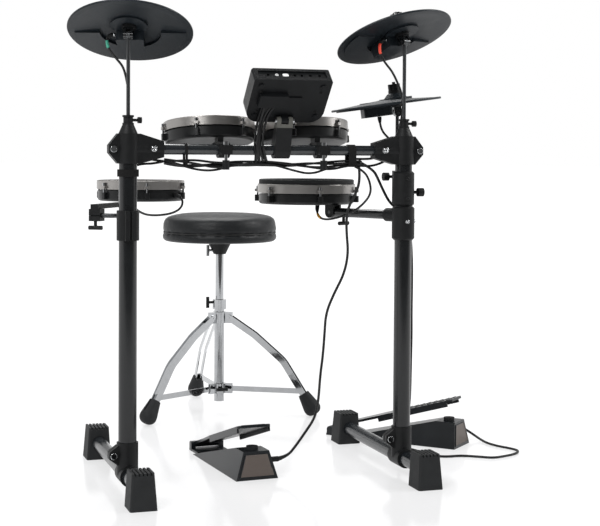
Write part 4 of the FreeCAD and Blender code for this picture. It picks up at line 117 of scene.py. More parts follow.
def addSocket(group, label, way):
    group.interface.new_socket(label, in_out=way, socket_type=socketKinds.get(label, "NodeSocketFloat"))


def openGroup(name, *labels):
    group = bpy.data.node_groups.new(name, "ShaderNodeTree")
    for label in labels:
        addSocket(group, label, "INPUT")
    given = group.nodes.new("NodeGroupInput").outputs
    return group, given, addNode(group, "ShaderNodeTexCoord").outputs["Object"]


def closeGroup(group, **results):
    for label in results:
        addSocket(group, label, "OUTPUT")
    addNode(group, "NodeGroupOutput", results)
    return group


def grainEffect():
    # Moulded or coated grain: fine noise for the normal, wide noise for gloss and tone
    group, given, spot = openGroup("surfaceGrain", "Scale", "Bump", "Dark", "Light", "Gloss", "Spread")
    fine = noise(group, spot, given["Scale"], Detail=3.0)["Fac"]
    wide = noise(group, spot, 38.0, Detail=4.0, Roughness=0.65)["Fac"]
    return closeGroup(group, Color=mixed(group, "RGBA", wide, given["Dark"], given["Light"]),
                      Roughness=counted(group, "MULTIPLY_ADD", wide, given["Spread"], given["Gloss"]),
                      Normal=bumped(group, fine, given["Bump"], 0.0004))


def brushEffect():
    # Brushed metal: noise drawn out along x and y so that the streaks run round a hoop
    group, given, spot = openGroup("brushedMetal", "Dark", "Light", "Gloss")
    drawn = addNode(group, "ShaderNodeMapping", {"Vector": spot, "Scale": (40.0, 40.0, 2200.0)}).outputs[0]
    streak = noise(group, drawn, 1.0, Detail=5.0, Roughness=0.7)["Fac"]
    return closeGroup(group, Color=mixed(group, "RGBA", streak, given["Dark"], given["Light"]),
                      Roughness=counted(group, "MULTIPLY_ADD", streak, 0.2, given["Gloss"]),
                      Normal=bumped(group, streak, 0.12, 0.0002))


def weaveEffect():
    # Woven mesh: two crossed sine bands, one along x and one along y
    group, given, spot = openGroup("wovenMesh", "Scale", "Dark", "Light")
    bands = {"Vector": spot, "Scale": given["Scale"]}
    waves = [addNode(group, "ShaderNodeTexWave", bands, bands_direction=way) for way in "XY"]
    high = counted(group, "MAXIMUM", *(wave.outputs["Fac"] for wave in waves))
    return closeGroup(group, Color=mixed(group, "RGBA", high, given["Dark"], given["Light"]),
                      Normal=bumped(group, high, 0.35, 0.0004))


def vinylEffect():
    # Leather-grained vinyl: borders of slightly bent cells, with painted shade that darkens the creases
    group, given, spot = openGroup("vinylGrain", "Dark", "Light")
    warp = noise(group, spot, 60.0, Detail=3.0)
    bent = mixed(group, "VECTOR", 0.02, spot, warp["Color"])
    cells = {"Vector": bent, "Scale": 420.0}
    border = addNode(group, "ShaderNodeTexVoronoi", cells, feature="DISTANCE_TO_EDGE").outputs["Distance"]
    crease = ranged(group, border, (0.0, 0.22))
    # The creases take the Dark tone as painted shade; the same value is the bump's height
    return closeGroup(group, Color=mixed(group, "RGBA", crease, given["Dark"], given["Light"]),
                      Roughness=counted(group, "MULTIPLY_ADD", warp["Fac"], 0.18, 0.34),
                      Normal=bumped(group, crease, 0.22, 0.0004))


effects = {"grain": grainEffect(), "brush": brushEffect(), "weave": weaveEffect(), "vinyl": vinylEffect()}


def finishOf(name, effect, given, shine=0.5, metal=0.0, roughness=0.5):
    # One material: the effect's outputs go to the shader, constants are set on the shader itself
    made = bpy.data.materials.new(name)
    made.use_nodes = True
    tree = made.node_tree
    shader = tree.nodes["Principled BSDF"].inputs
    for label, value in (("Specular IOR Level", shine), ("Metallic", metal), ("Roughness", roughness)):
        shader[label].default_value = value
    values = {label: (*value, 1) if isinstance(value, tuple) else value for label, value in given.items()}
    source = addNode(tree, "ShaderNodeGroup", values, node_tree=effects[effect])
    for label, target in (("Color", "Base Color"), ("Roughness", "Roughness"), ("Normal", "Normal")):
        if label in source.outputs:
            tree.links.new(source.outputs[label], shader[target])
    return made


def grained(name, scale, bump, dark, light, gloss, spread, **fixed):
    given = {"Scale": scale, "Bump": bump, "Dark": dark, "Light": light, "Gloss": gloss, "Spread": spread}
    return finishOf(name, "grain", given, **fixed)


def grey(value, tint=0.0):
    # Grey tone, made cooler by the tint
    return (value * (1 - tint), value, value * (1 + tint))


# Grained looks give scale and bump of the grain, dark and light tone, least roughness and its spread
looks = {
    "tube": grained("blackTube", 1500, 0.04, grey(0.004, 0.1), grey(0.008, 0.1), 0.13, 0.06),
    "bar": grained("barGloss", 1500, 0.02, grey(0.006, 0.2), grey(0.014, 0.2), 0.16, 0.12, shine=0.9),
    "rod": grained("rodSteel", 1500, 0.06, grey(0.050, 0.04), grey(0.085, 0.04), 0.26, 0.14, metal=0.85),
    "nylon": grained("blackNylon", 1900, 0.22, grey(0.004, 0.06), grey(0.01, 0.06), 0.36, 0.2, shine=0.18),
    "footRubber": grained("footRubber", 1100, 0.3, grey(0.009, 0.06), grey(0.018, 0.06), 0.5, 0.25,
                          shine=0.2),
    "chrome": grained("chrome", 300, 0.01, grey(0.36, 0.02), grey(0.52, 0.02), 0.03, 0.06, metal=1.0),
    "shell": grained("shellPlastic", 1500, 0.04, grey(0.004, 0.06), grey(0.01, 0.06), 0.24, 0.15, shine=0.3),
    "padRubber": grained("padRubber", 1300, 0.18, grey(0.008, 0.26), grey(0.017, 0.26), 0.36, 0.16,
                         shine=0.22),
    "plastic": grained("housingPlastic", 2300, 0.25, grey(0.003, 0.1), grey(0.008, 0.1), 0.30, 0.16,
                       shine=0.15),
    "blockGrey": grained("blockGrey", 1800, 0.2, (0.048, 0.048, 0.042), (0.075, 0.075, 0.066), 0.4, 0.2),
    "button": grained("buttonGrey", 1500, 0.08, grey(0.10), grey(0.15), 0.42, 0.12),
    "pedal": grained("pedalCoat", 1400, 0.06, grey(0.005, 0.2), grey(0.010, 0.2), 0.27, 0.05, shine=0.36),
    "piping": grained("seatPiping", 1300, 0.2, grey(0.004), grey(0.009), 0.4, 0.2),
    "cable": grained("cableJacket", 900, 0.1, grey(0.004, 0.04), grey(0.01, 0.04), 0.36, 0.2, shine=0.25),
    "felt": grained("feltGrey", 700, 0.6, grey(0.012), grey(0.04), 0.8, 0.15),
    "foam": grained("sensorFoam", 500, 0.6, grey(0.03), grey(0.07), 0.8, 0.1),
    "plate": grained("sensorPlate", 600, 0.05, (0.42, 0.30, 0.10), (0.55, 0.41, 0.16), 0.3, 0.2, metal=1.0),
    "dark": grained("deepBlack", 600, 0.1, grey(0.002), grey(0.005), 0.6, 0.2, shine=0.2),
    "white": grained("portWhite", 600, 0.05, grey(0.62), grey(0.78), 0.4, 0.2),
    "green": grained("bandGreen", 900, 0.1, (0.02, 0.22, 0.14), (0.05, 0.36, 0.25), 0.4, 0.2),
    "red": grained("bandRed", 900, 0.1, (0.62, 0.03, 0.01), (0.86, 0.08, 0.04), 0.4, 0.2),
    "orange": grained("bandOrange", 900, 0.1, (0.55, 0.26, 0.03), (0.80, 0.42, 0.06), 0.4, 0.2),
    "hoop": finishOf("hoopGrey", "brush",
                     {"Dark": (0.25, 0.24, 0.23), "Light": (0.42, 0.405, 0.39), "Gloss": 0.24}, metal=0.9),
    "panel": finishOf("panelBronze", "brush",
                      {"Dark": (0.068, 0.055, 0.048), "Light": (0.120, 0.098, 0.086), "Gloss": 0.36},
                      metal=0.35),
    "mesh": finishOf("meshHead", "weave", {"Scale": 650, "Dark": grey(0.008), "Light": grey(0.05)},
                     roughness=0.75),
    "strap": finishOf("strapWeave", "weave", {"Scale": 700, "Dark": grey(0.002), "Light": grey(0.007)},
                      shine=0.15, roughness=0.8),
    # Dark is the painted shade in the vinyl's creases, Light the cells between them
    "vinyl": finishOf("seatVinyl", "vinyl", {"Dark": grey(0.004, 0.1), "Light": grey(0.011, 0.14)},
                      shine=0.26),
}


def islands(mesh):
    # Number of the separate solid that each face belongs to: corners at the same place count as one, and each
    # takes the lowest number among the corners of its faces until nothing changes
    spots = readAll(mesh.vertices, "co", 3)
    label = np.unique(np.round(spots, 6), axis=0, return_inverse=True)[1].ravel()
    starts = readAll(mesh.polygons, "loop_start", kind=np.int32)
    corner = readAll(mesh.loops, "vertex_index", kind=np.int32)
    face = np.repeat(np.arange(len(starts)), np.diff(np.append(starts, len(corner))))
    number, before = np.arange(label.max() + 1), None
    while before is None or (number != before).any():
        before = number.copy()
        lowest = np.full(len(starts), len(number))
        np.minimum.at(lowest, face, number[label[corner]])
        np.minimum.at(number, label[corner], lowest[face])
    return np.unique(lowest, return_inverse=True)[1].ravel(), face, spots[corner]


def dress(name, *choices, rule=None):
    # Give a CAD node its materials; rule picks one of them for each separate solid by its size in millimetres
    mesh = nodes[name].data
    mesh.materials.clear()
    for look in choices:
        mesh.materials.append(looks[look])
    chosen = np.zeros(len(mesh.polygons), np.int32)
    if rule:
        number, face, spots = islands(mesh)
        for solid in range(number.max() + 1):
            size = np.ptp(spots[number[face] == solid] * 1000, axis=0)
            chosen[number == solid] = choices.index(rule(size))
    mesh.polygons.foreach_set("material_index", chosen)
    mesh.update()


def shadeFaces(name, look, test):
    # Another material for the faces whose centres, in millimetres about the rack's middle, pass a test
    mesh = nodes[name].data
    mesh.materials.append(looks[look])
    chosen = test(*measured(readAll(mesh.polygons, "center", 3)).T)
    current = readAll(mesh.polygons, "material_index", kind=np.int32)
    current[chosen] = len(mesh.materials) - 1
    mesh.polygons.foreach_set("material_index", current)
    mesh.update()


def mountLook(size):
    # Pins and bolts of a tom mount are long one way and thin the other
    thin = (size[0] < 14 and size[2] > 25) or (size[0] > 25 and size[2] < 14)
    return "chrome" if thin else "nylon"


def cymbalLook(size):
    # Dish over 150 mm, sensor box and fork over 34 mm, below that felts as the flat wide ones, and nuts
    least, greatest = min(size), max(size)
    if greatest > 150:
        return "padRubber"
    if greatest >= 34:
        return "tube"
    return "felt" if greatest > 29.5 and least < 15.5 else "nylon"


def hoopLook(size):
    return "chrome" if max(size) < 40 else "hoop"


def snareHoopLook(size):
    rim = size[2] < 12 and size[0] > 100
    return "footRubber" if rim else hoopLook(size)


def pedalLook(size):
    return "pedal" if max(size) > 150 else "footRubber" if size[2] < 10 else "nylon"


drums = ("snare", "floor_tom", "left_tom", "right_tom")
plainLooks = {
    "tube": ("left_column", "right_column"),
    "bar": ("crossbar", "foot_bars"),
    "footRubber": ("rubber_feet",),
    "nylon": ("base_clamps", "top_clamps", "hihat_clamp"),
    "strap": ("cable_straps",),
    "rod": ("left_cymbal_rod", "right_cymbal_rod", "hihat_rod"),
    "mesh": tuple(f"{drum}_head" for drum in drums),
    "plastic": ("module_case",),
    "button": ("module_dial", "module_button_1", "module_button_2", "module_button_3"),
    "pedal": ("kick_footboard", "hihat_footboard"),
    "chrome": ("rack_bolts", "seat_post", "throne_base", "brace_1", "brace_2", "brace_3"),
}
for look, names in plainLooks.items():
    for name in names:
        dress(name, look)
dress("tom_mounts", "nylon", "chrome", rule=mountLook)
for name in ("left_cymbal", "right_cymbal", "hihat_cymbal"):
    dress(name, "padRubber", "tube", "felt", "nylon", rule=cymbalLook)
for drum in drums:
    dress(f"{drum}_shell", "shell", "nylon", rule=lambda size: "shell" if min(size[:2]) > 150 else "nylon")
    dress(f"{drum}_hoop", "hoop", "chrome", "footRubber", rule=snareHoopLook if drum == "snare" else hoopLook)
    dress(f"{drum}_sensor", "plate", "foam", rule=lambda size: "plate" if size[0] > 45 else "foam")
dress("floor_tom_arm", "nylon", "rod", rule=lambda size: "rod" if size[2] < 20 else "nylon")
dress("snare_arm", "nylon", "tube", rule=lambda size: "tube" if size[2] <= 60 and max(size) > 80 else "nylon")
dress("module_bracket", "nylon", "chrome", rule=lambda size: "chrome" if size[2] < 20 else "nylon")
shadeFaces("module_bracket", "blockGrey", lambda x, y, z: (z > 762.5) & (np.abs(x - 23) < 17.6))
for name in ("kick_base", "hihat_base"):
    dress(name, "pedal", "footRubber", "nylon", rule=pedalLook)
dress("seat_hub", "nylon", "chrome", rule=lambda size: "chrome" if size[0] < 40 else "nylon")
shadeFaces("throne_base", "nylon", lambda x, y, z: (x < 93.2) & (z > 285))
dress("brace_hub", "chrome", "nylon", rule=lambda size: "nylon" if min(size) < 12 else "chrome")
for name in ("leg_1", "leg_2", "leg_3"):
    dress(name, "chrome", "footRubber", rule=lambda size: "footRubber" if size[2] < 90 else "chrome")
print("nodes dressed")


def surfaceMesh(name, grid, look, body, closedAlong=False):
    # Mesh from a grid of points in millimetres: rows run round the piece, columns along its profile, and
    # the two ends are closed by one face each unless the profile closes on itself
    rows, columns = grid.shape[:2]
    stop = columns if closedAlong else columns - 1
    i, j = np.meshgrid(np.arange(rows), np.arange(stop), indexing="ij")
    here, beyond, higher = i * columns, (i + 1) % rows * columns, (j + 1) % columns
    faces = np.stack([here + j, beyond + j, beyond + higher, here + higher], axis=-1).reshape(-1, 4).tolist()
    if not closedAlong:
        around = np.arange(rows) * columns
        faces += [around[::-1].tolist(), (around + columns - 1).tolist()]
    mesh = bpy.data.meshes.new(name)
    mesh.from_pydata(place(grid.reshape(-1, 3)).tolist(), [], faces)
    mesh.polygons.foreach_set("use_smooth", np.arange(len(faces)) < rows * stop)
    mesh.materials.append(looks[look])
    made = bpy.data.objects.new(name, mesh)
    scene.collection.objects.link(made)
    if body:
        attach(made, body)
    return made


def ringFrame(axis, guide=None):
    # Two unit vectors square to each given direction, so that side x up = direction
    axis = np.atleast_2d(np.array(axis, float))
    axis = axis / np.linalg.norm(axis, axis=1, keepdims=True)
    if guide is None:
        guide = np.where(np.abs(axis[:, 2:]) < 0.9, [[0.0, 0.0, 1.0]], [[1.0, 0.0, 0.0]])
    side = np.cross(guide, axis)
    side = side / np.linalg.norm(side, axis=1, keepdims=True)
    return axis, side, np.cross(axis, side)


def fullTurn(steps):
    return np.linspace(0, 2 * np.pi, steps, endpoint=False)


def squared(value, power):
    return np.sign(value) * np.abs(value) ** power


def turned(name, profile, base, axis, look, body, sides=28, stretch=(1.0, 1.0, 1.0), closed=False):
    # Profile turned about an axis: point = base + height * axis + radius * (wide * cos^power * side
    # + tall * sin^power * up), where a power below 1 squares the outline
    axis, side, up = ringFrame(axis)
    angle = fullTurn(sides)[:, None]
    wide, tall, power = stretch
    ring = wide * squared(np.cos(angle), power) * side + tall * squared(np.sin(angle), power) * up
    radius, height = np.array(profile, float).T
    radius, height = radius[None, :, None], height[None, :, None]
    grid = np.array(base, float) + height * axis[None] + radius * ring[:, None, :]
    return surfaceMesh(name, grid, look, body, closedAlong=closed)


def onto(node, spot, axis, approach=0.06):
    # Where a line through a spot, run against an axis from outside, first meets a CAD node
    axis = Vector(axis).normalized()
    found, hit, _, _ = nodes[node].ray_cast(Vector(placeOne(spot)) + axis * approach, -axis)
    return measured(np.array(hit)) if found else np.array(spot, float)


# Leads: the route's points are the control points of one smooth spline each
cords = {
    "crossbar_loom": {
        "diameter": 5.0, "strands": 5, "spread": 4.6, "twist": 0.8, "droop": (3, 9, 17, 6, 21),
        "uneven": (0.3, 1.9), "routes": [[
            (-230, 6, 690), (-204, 4, 688), (-164, 3, 690), (-122, 6, 687), (-80, 5, 689), (-38, 7, 686),
            (6, 5, 687), (50, 7, 685), (94, 5, 687), (138, 6, 688), (180, 3, 690), (208, 2, 688)]]},
    "pad_leads": {"diameter": 5.0, "routes": [
        [(-327.3, 36.0, 953.3), (-337, 39.6, 952.2), (-343.5, 41.5, 946), (-345, 40, 934), (-340, 34, 919),
         (-328, 25, 903), (-315, 17, 886), (-309.5, 12.5, 864), (-304.6, 10.8, 834), (-303.6, 14, 803),
         (-301, 21.5, 774), (-297, 29.5, 744), (-288, 32, 716), (-270, 27, 699), (-250, 18.6, 692),
         (-231.2, 9.3, 690.5)],
        [(268.0, 11.3, 958.3), (257.3, 6.2, 957.4), (250.5, 3, 950), (249.5, 3.5, 937), (255, 7, 922),
         (267, 10.5, 907), (283, 13, 891), (294.5, 12.6, 870), (307.5, 11, 840), (310.6, 14, 806),
         (308, 22, 774), (300, 29.5, 744), (288, 31.5, 720), (268, 27, 705), (244, 20, 698),
         (219, 14.5, 696.5), (191.9, 12.1, 697)],
        [(307.7, 147.9, 793.9), (308.6, 147.7, 778), (312, 138, 758), (320, 112, 741), (323, 80, 727),
         (308, 47, 709), (280, 31, 694), (250, 22, 683), (221, 13, 680.5), (191.9, 8.7, 683.4)],
        [(-156.1, 223.0, 611.9), (-147.5, 212.3, 610.5), (-143, 201, 602), (-147, 190, 589), (-160, 179, 579),
         (-181, 165, 573), (-207, 146, 571), (-234, 121, 572), (-257, 92, 577), (-280, 62, 589),
         (-299, 43, 610), (-306, 35, 638), (-305, 33, 664), (-293, 35, 679), (-270, 28.5, 684.5),
         (-249, 14.5, 685), (-232, 3.8, 689.8)],
        [(191.9, -3, 680.2), (211, -5, 672), (230, 6, 650), (245, 34, 620), (240, 76, 593), (224, 112, 573),
         (202, 144, 561), (188, 176, 556), (182, 204, 560), (182, 222, 572), (185.8, 227.7, 589.0)],
        [(-30, -42.2, 806.5), (-30.6, -30.5, 793.5), (-33, -14, 770), (-38, -17, 744), (-39, -20, 722),
         (-35, -13.8, 703.3), (-33.1, 1.3, 690.9)],
        [(-23, -42.2, 806.5), (-23.6, -30.5, 793.5), (-25, -14, 770), (-30, -17, 744), (-31, -20, 722),
         (-27, -13.8, 703.4), (-25, 1.6, 690.5)],
        [(-16, -42.2, 806.5), (-16.6, -30.5, 793.5), (-17, -14, 770), (-22, -17, 744), (-23, -20, 722),
         (-19, -13.8, 703.4), (-17, 1.3, 690.7)],
        [(-9, -42.2, 806.5), (-9.6, -30.5, 793.5), (-9, -14, 770), (-14, -17, 744), (-15, -20, 722),
         (-11, -13.8, 703.5), (-9, 1, 690.8)]]},
    "kick_cable": {"diameter": 6.0, "routes": [[
        (203.3, 2.6, 680.8), (211, 14, 650), (206, 31, 618), (197, 48, 592), (197, 62, 565), (202, 74, 530),
        (211, 86, 484), (206, 100, 436), (188, 118, 390), (176, 136, 345), (178, 150, 296), (178, 160, 246),
        (173, 164, 198), (163, 145, 148), (146, 118, 112), (116, 98, 84), (88, 84, 56), (66, 73.5, 38),
        (44.1, 70.75, 34.1)]]},
    "hihat_cable": {"diameter": 6.0, "routes": [[
        (581.1, 295.5, 33.9), (597, 310, 30), (620, 304, 15), (630, 272, 4.5), (628, 230, 3.3),
        (637, 188, 3.4), (656, 154, 3.3), (662, 124, 3.4), (640, 96, 3.3), (604, 80, 3.4),
        (568, 70, 3.3), (540, 92, 3.4), (504, 116, 3.3), (470, 112, 3.4), (444, 130, 3.3),
        (434, 174, 3.4), (420, 206, 5), (392, 196, 12), (368, 164, 34), (356, 122, 66), (352, 80, 98),
        (348, 52, 138), (345, 40, 190), (343, 34, 246),
        (345, 36, 304), (343, 33, 362), (345, 36, 420), (343, 33, 478), (342, 40, 532), (336, 49, 570),
        (316, 52, 584), (294, 48, 600), (276, 40, 626), (258, 26, 652), (240, 10, 674),
        (209.7, 2.3, 687.5)]]},
}
# The first leads come from the pads one by one, the others lie in the module's bundle
padRoutes = 5
bundle = {"middle": -19.5, "ease": 0.7, "draw": 0.62, "left": 6.5, "turn": 2.4, "wide": 2.6, "deep": 5.5,
          "forward": 2.0, "second": (2.6, -2.4, -1.0)}
bundleWay = {"bodies": ("module_case", "rack"), "spots": ((-20, -31, 795), (-20, -18, 722))}
# Leads cut into stretches: the bodies from the pad's end to the rack, and the spots between which the
# lead goes over from one to the next
carried = {
    "pad_leads_1": {"bodies": ("left_cymbal", "left_cymbal_rod", "rack"),
                    "spots": ((-337, 39.6, 950), (-312, 15, 875), (-297, 29.5, 740))},
    "pad_leads_2": {"bodies": ("right_cymbal", "right_cymbal_rod", "rack"),
                    "spots": ((254, 5, 953), (290, 13, 879), (300, 29.5, 740))},
    "pad_leads_3": {"bodies": ("hihat_cymbal", "hihat_rod", "rack"),
                    "spots": ((308, 148, 788), (316, 125, 748), (310, 55, 712))},
    "pad_leads_4": {"bodies": ("floor_tom_pad", "floor_tom_arm", "rack"),
                    "spots": ((-150, 186, 586), (-225, 129, 571.5), (-299, 43, 610))},
    "pad_leads_5": {"bodies": ("snare_pad", "snare_arm", "rack"),
                    "spots": ((182, 206, 561), (200, 147, 560.5), (245, 34, 620))},
    **{f"pad_leads_{number}": bundleWay for number in range(6, 14)},
}
# Sleeves on a lead: start along it and length in millimetres, radii from end to end; a negative start counts
# from the far end
collarRadii, plugRadii, bandRadii = (3.0, 3.8, 3.8, 3.2), (4.2, 4.6, 4.4, 3.3), (2.9, 3.2, 3.2, 2.9)
sleeves = {
    "pad_leads_1": [("collar", 0, 5, collarRadii, "chrome"), ("plug", 5, 15, plugRadii, "nylon"),
                    ("band", 24, 17, bandRadii, "green")],
    "pad_leads_2": [("collar", 0, 5, collarRadii, "chrome"), ("plug", 5, 14, plugRadii, "nylon"),
                    ("band", 22, 22, bandRadii, "red")],
    "pad_leads_3": [("plug", 0, 14, (4.6, 4.8, 4.0, 3.0), "nylon")],
    "pad_leads_4": [("plug", 0, 20, (5.0, 5.2, 4.8, 3.2), "nylon")],
    "pad_leads_5": [("plug", -18, 18, (3.2, 4.6, 5.0, 4.8), "nylon"), ("band", -46, 20, bandRadii, "orange")],
    "kick_cable_1": [("relief", -26, 26, (3.2, 3.7, 4.4, 5.2), "cable")],
    "hihat_cable_1": [("relief", 0, 26, (5.2, 4.4, 3.7, 3.2), "cable")],
}


def loomStrand(route, number, facts):
    # One strand of the loom: its points go round the loom's middle by a slow turn and hang down between ties
    points = np.array(route, float)
    step = np.arange(len(points))
    turn = 2 * np.pi * number / facts["strands"] + facts["twist"] * step
    share, pace = facts["uneven"]
    uneven = 1 - share + share * np.cos(pace * step + number)
    points[:, 1] += facts["spread"] * np.cos(turn)
    points[:, 2] += facts["spread"] * np.sin(turn)
    points[:, 2] -= facts["droop"][number] * np.sin(2 * np.pi * step / step[-1]) ** 2 * uneven
    return points


def bundled(route, number):
    # A lead of the module's bundle: drawn towards the bundle's middle, round it, and left on its way down
    points = np.array(route, float)
    along = np.sin(np.pi * np.linspace(0, 1, len(points))) ** bundle["ease"]
    middle = points[:, 0] - (points[0, 0] - bundle["middle"])
    points[:, 0] = middle + (points[:, 0] - middle) * (1 - bundle["draw"] * along) - bundle["left"] * along
    turn = number * bundle["turn"]
    points[:, 0] += bundle["wide"] * np.cos(turn) * along
    points[:, 1] += bundle["deep"] * np.sin(turn) * along - bundle["forward"] * along
    return points


def splineCurve(name, points, diameter):
    curve = bpy.data.curves.new(name, "CURVE")
    curve.dimensions = "3D"
    spline = curve.splines.new("NURBS")
    spots = place(points)
    spline.points.add(len(spots) - 1)
    spline.points.foreach_set("co", np.column_stack([spots, np.ones(len(spots))]).ravel())
    spline.order_u = 3
    spline.use_endpoint_u = True
    spline.resolution_u = 8
    curve.bevel_depth = diameter / 2000
    curve.bevel_resolution = 3
    curve.use_fill_caps = True
    curve.materials.append(looks["cable"])
    return curve


def centreLine(curve):
    # Points of the smooth spline itself, read from the curve without its bevel
    depth, curve.bevel_depth = curve.bevel_depth, 0.0
    probe = bpy.data.objects.new("probe", curve)
    mesh = bpy.data.meshes.new_from_object(probe)
    points = readAll(mesh.vertices, "co", 3)
    bpy.data.objects.remove(probe)
    bpy.data.meshes.remove(mesh)
    curve.bevel_depth = depth
    return measured(points)


def stepsOf(line):
    return np.linalg.norm(np.diff(line, axis=0), axis=1)


def tubeOn(name, line, radius, side, up, sides, look):
    # Round tube along a line: point = line + radius * (cos * side + sin * up)
    angle = fullTurn(sides)[:, None, None]
    ring = np.cos(angle) * side[None] + np.sin(angle) * up[None]
    return surfaceMesh(name, line[None] + radius * ring, look, None)


def leadTube(name, line, diameter):
    # The rings are laid out from the direction that the line runs along least
    way = np.gradient(line, axis=0)
    _, side, up = ringFrame(way, np.linalg.svd(way)[2][-1:])
    return tubeOn(name, line, diameter / 2, side, up, 14, "cable")


def sleeveOn(name, line, start, length, radii, look, stations=14, margin=0.01):
    # Round profile carried along a stretch of a lead
    run = np.append(0, np.cumsum(stepsOf(line)))
    first = start if start >= 0 else run[-1] + start
    spots = np.linspace(max(first, margin), min(first + length, run[-1] - margin), stations)
    middle = np.stack([np.interp(spots, run, line[:, k]) for k in range(3)], axis=1)
    _, side, up = ringFrame(np.gradient(middle, axis=0))
    radius = np.interp(np.linspace(0, 1, stations), np.linspace(0, 1, len(radii)), radii)[None, :, None]
    return tubeOn(name, middle, radius, side, up, 20, look)


def carry(piece, name):
    # A piece of a carried lead has its place baked into its mesh, or else it stays with the rack
    if name in carried:
        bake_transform(piece)
    else:
        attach(piece, "rack")


def declare(cord, node, line, diameter, **more):
    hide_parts(node)


def layCord(name, points, diameter, node):
    curve = splineCurve(name, points, diameter)
    line = centreLine(curve)
    pieces = [sleeveOn(f"{name}_{kind}", line, *facts) for kind, *facts in sleeves.get(name, [])]
    for piece in pieces:
        carry(piece, name)
    if name not in carried:
        cord = bpy.data.objects.new(name, curve)
        scene.collection.objects.link(cord)
        carry(cord, name)
        declare(cord, node, line, diameter, with_pieces=pieces)
        return
    # A carried lead is a mesh tube on the same spline, one stretch for each joint from the pad
    nearest = [int(np.linalg.norm(line - spot, axis=1).argmin()) for spot in carried[name]["spots"]]
    if nearest[0] > nearest[-1]:
        line, nearest = line[::-1], [len(line) - 1 - spot for spot in nearest]
    cuts = [0, *nearest[1:-1], len(line) - 1]
    for stretch, (first, last) in enumerate(zip(cuts, cuts[1:])):
        part = line[first:last + 1]
        cord = leadTube(f"{name}_run" if stretch else name, part, diameter)
        carry(cord, name)
        declare(cord, node, part, diameter, path=place(part), with_pieces=[] if stretch else pieces)


for node, facts in cords.items():
    routes = facts["routes"]
    if "strands" in facts:
        routes = [loomStrand(routes[0], number, facts) for number in range(facts["strands"])]
    for number, route in enumerate(routes, start=1):
        inBundle = node == "pad_leads" and number > padRoutes
        layCord(f"{node}_{number}", bundled(route, number) if inBundle else route, facts["diameter"], node)
# The module's bundle is twice as thick as its four routes: a second lead lies close to each
leads = cords["pad_leads"]
for number, route in enumerate(leads["routes"][padRoutes:], start=len(leads["routes"]) + 1):
    beside = np.array(route) + np.array(bundle["second"]) * np.linspace(1, 0.5, len(route))[:, None]
    layCord(f"pad_leads_{number}", bundled(beside, number), leads["diameter"], "pad_leads")
print("leads laid")


# Seat cushion: a turned form puffed by cloth, then creased along its seam
seat = {
    "middle": (113.0, 834.0), "low": 468.2, "held": 6.0, "side": 120.0,
    "profile": [(1, 468.2), (60, 468.2), (120, 468.2), (143, 468.6), (150.5, 471), (154, 475.5), (155.4, 482),
                (155.6, 490), (155.3, 500), (155, 512), (153.8, 522), (150.4, 530), (143.6, 535),
                (133, 537.4), (115, 538.6), (90, 539.2), (60, 539.6), (28, 539.8), (1, 539.8)],
    "voxel": 0.005, "pressure": 3.0, "frames": 20, "cap": 0.005, "evenSteps": 60,
    "seam": 493.0, "seamWidth": 4.6, "seamDepth": 5.6, "tucks": ((0.22, 23, 0.0), (0.16, 41, 1.3)),
    "folds": ((503.0, 1.1, 5, 0.4), (511.0, 1.3, 4, 2.0), (519.0, 0.9, 7, 3.7)),
    "foldSide": 130.0, "foldWidth": 2.6, "foldSway": 1.6,
}
piping = {"radius": 1.5, "sunk": 0.45, "band": 4.0, "steps": 180, "sides": 10}
cushion = turned("seatCushion", np.array(seat["profile"]) - [0, seat["low"]], (*seat["middle"], seat["low"]),
                 (0, 0, 1), "vinyl", "seat_top", sides=96)


def evaluatedMesh(piece):
    return bpy.data.meshes.new_from_object(piece.evaluated_get(bpy.context.evaluated_depsgraph_get()))


def evened(move, edges, steps):
    # Each point's move becomes the mean of its own and its neighbours' mean, step by step
    one, other = edges.T
    count = np.maximum(np.bincount(edges.ravel(), minlength=len(move)), 1)[:, None]
    for _ in range(steps):
        around = np.zeros_like(move)
        np.add.at(around, one, move[other])
        np.add.at(around, other, move[one])
        move = (move + around / count) / 2
    return move


def puffed(piece, facts):
    # Voxel remesh, then cloth with inner pressure; each point keeps within the cap of where it started
    remesh = piece.modifiers.new("even", "REMESH")
    remesh.mode, remesh.voxel_size, remesh.use_smooth_shade = "VOXEL", facts["voxel"], True
    even = evaluatedMesh(piece)
    piece.modifiers.remove(remesh)
    piece.data = even
    start = readAll(even.vertices, "co", 3)
    held = piece.vertex_groups.new(name="held")
    held.add(np.where(start[:, 2] * 1000 < facts["low"] + facts["held"])[0].tolist(), 1.0, "REPLACE")
    cloth = piece.modifiers.new("puff", "CLOTH")
    cloth.settings.use_pressure = True
    cloth.settings.uniform_pressure_force = facts["pressure"]
    cloth.settings.effector_weights.gravity = 0.0
    cloth.settings.vertex_group_mass = "held"
    for step in range(1, facts["frames"] + 1):
        scene.frame_set(step)
    shape = evaluatedMesh(piece)
    move = readAll(shape.vertices, "co", 3) - start
    bpy.data.meshes.remove(shape)
    piece.modifiers.remove(cloth)
    piece.vertex_groups.remove(held)
    scene.frame_set(1)
    reach = np.linalg.norm(move, axis=1, keepdims=True)
    move *= np.minimum(1, facts["cap"] / np.maximum(reach, 1e-9))
    return start + evened(move, readAll(even.edges, "vertices", 2, np.int32), facts["evenSteps"])


spots = puffed(cushion, seat)
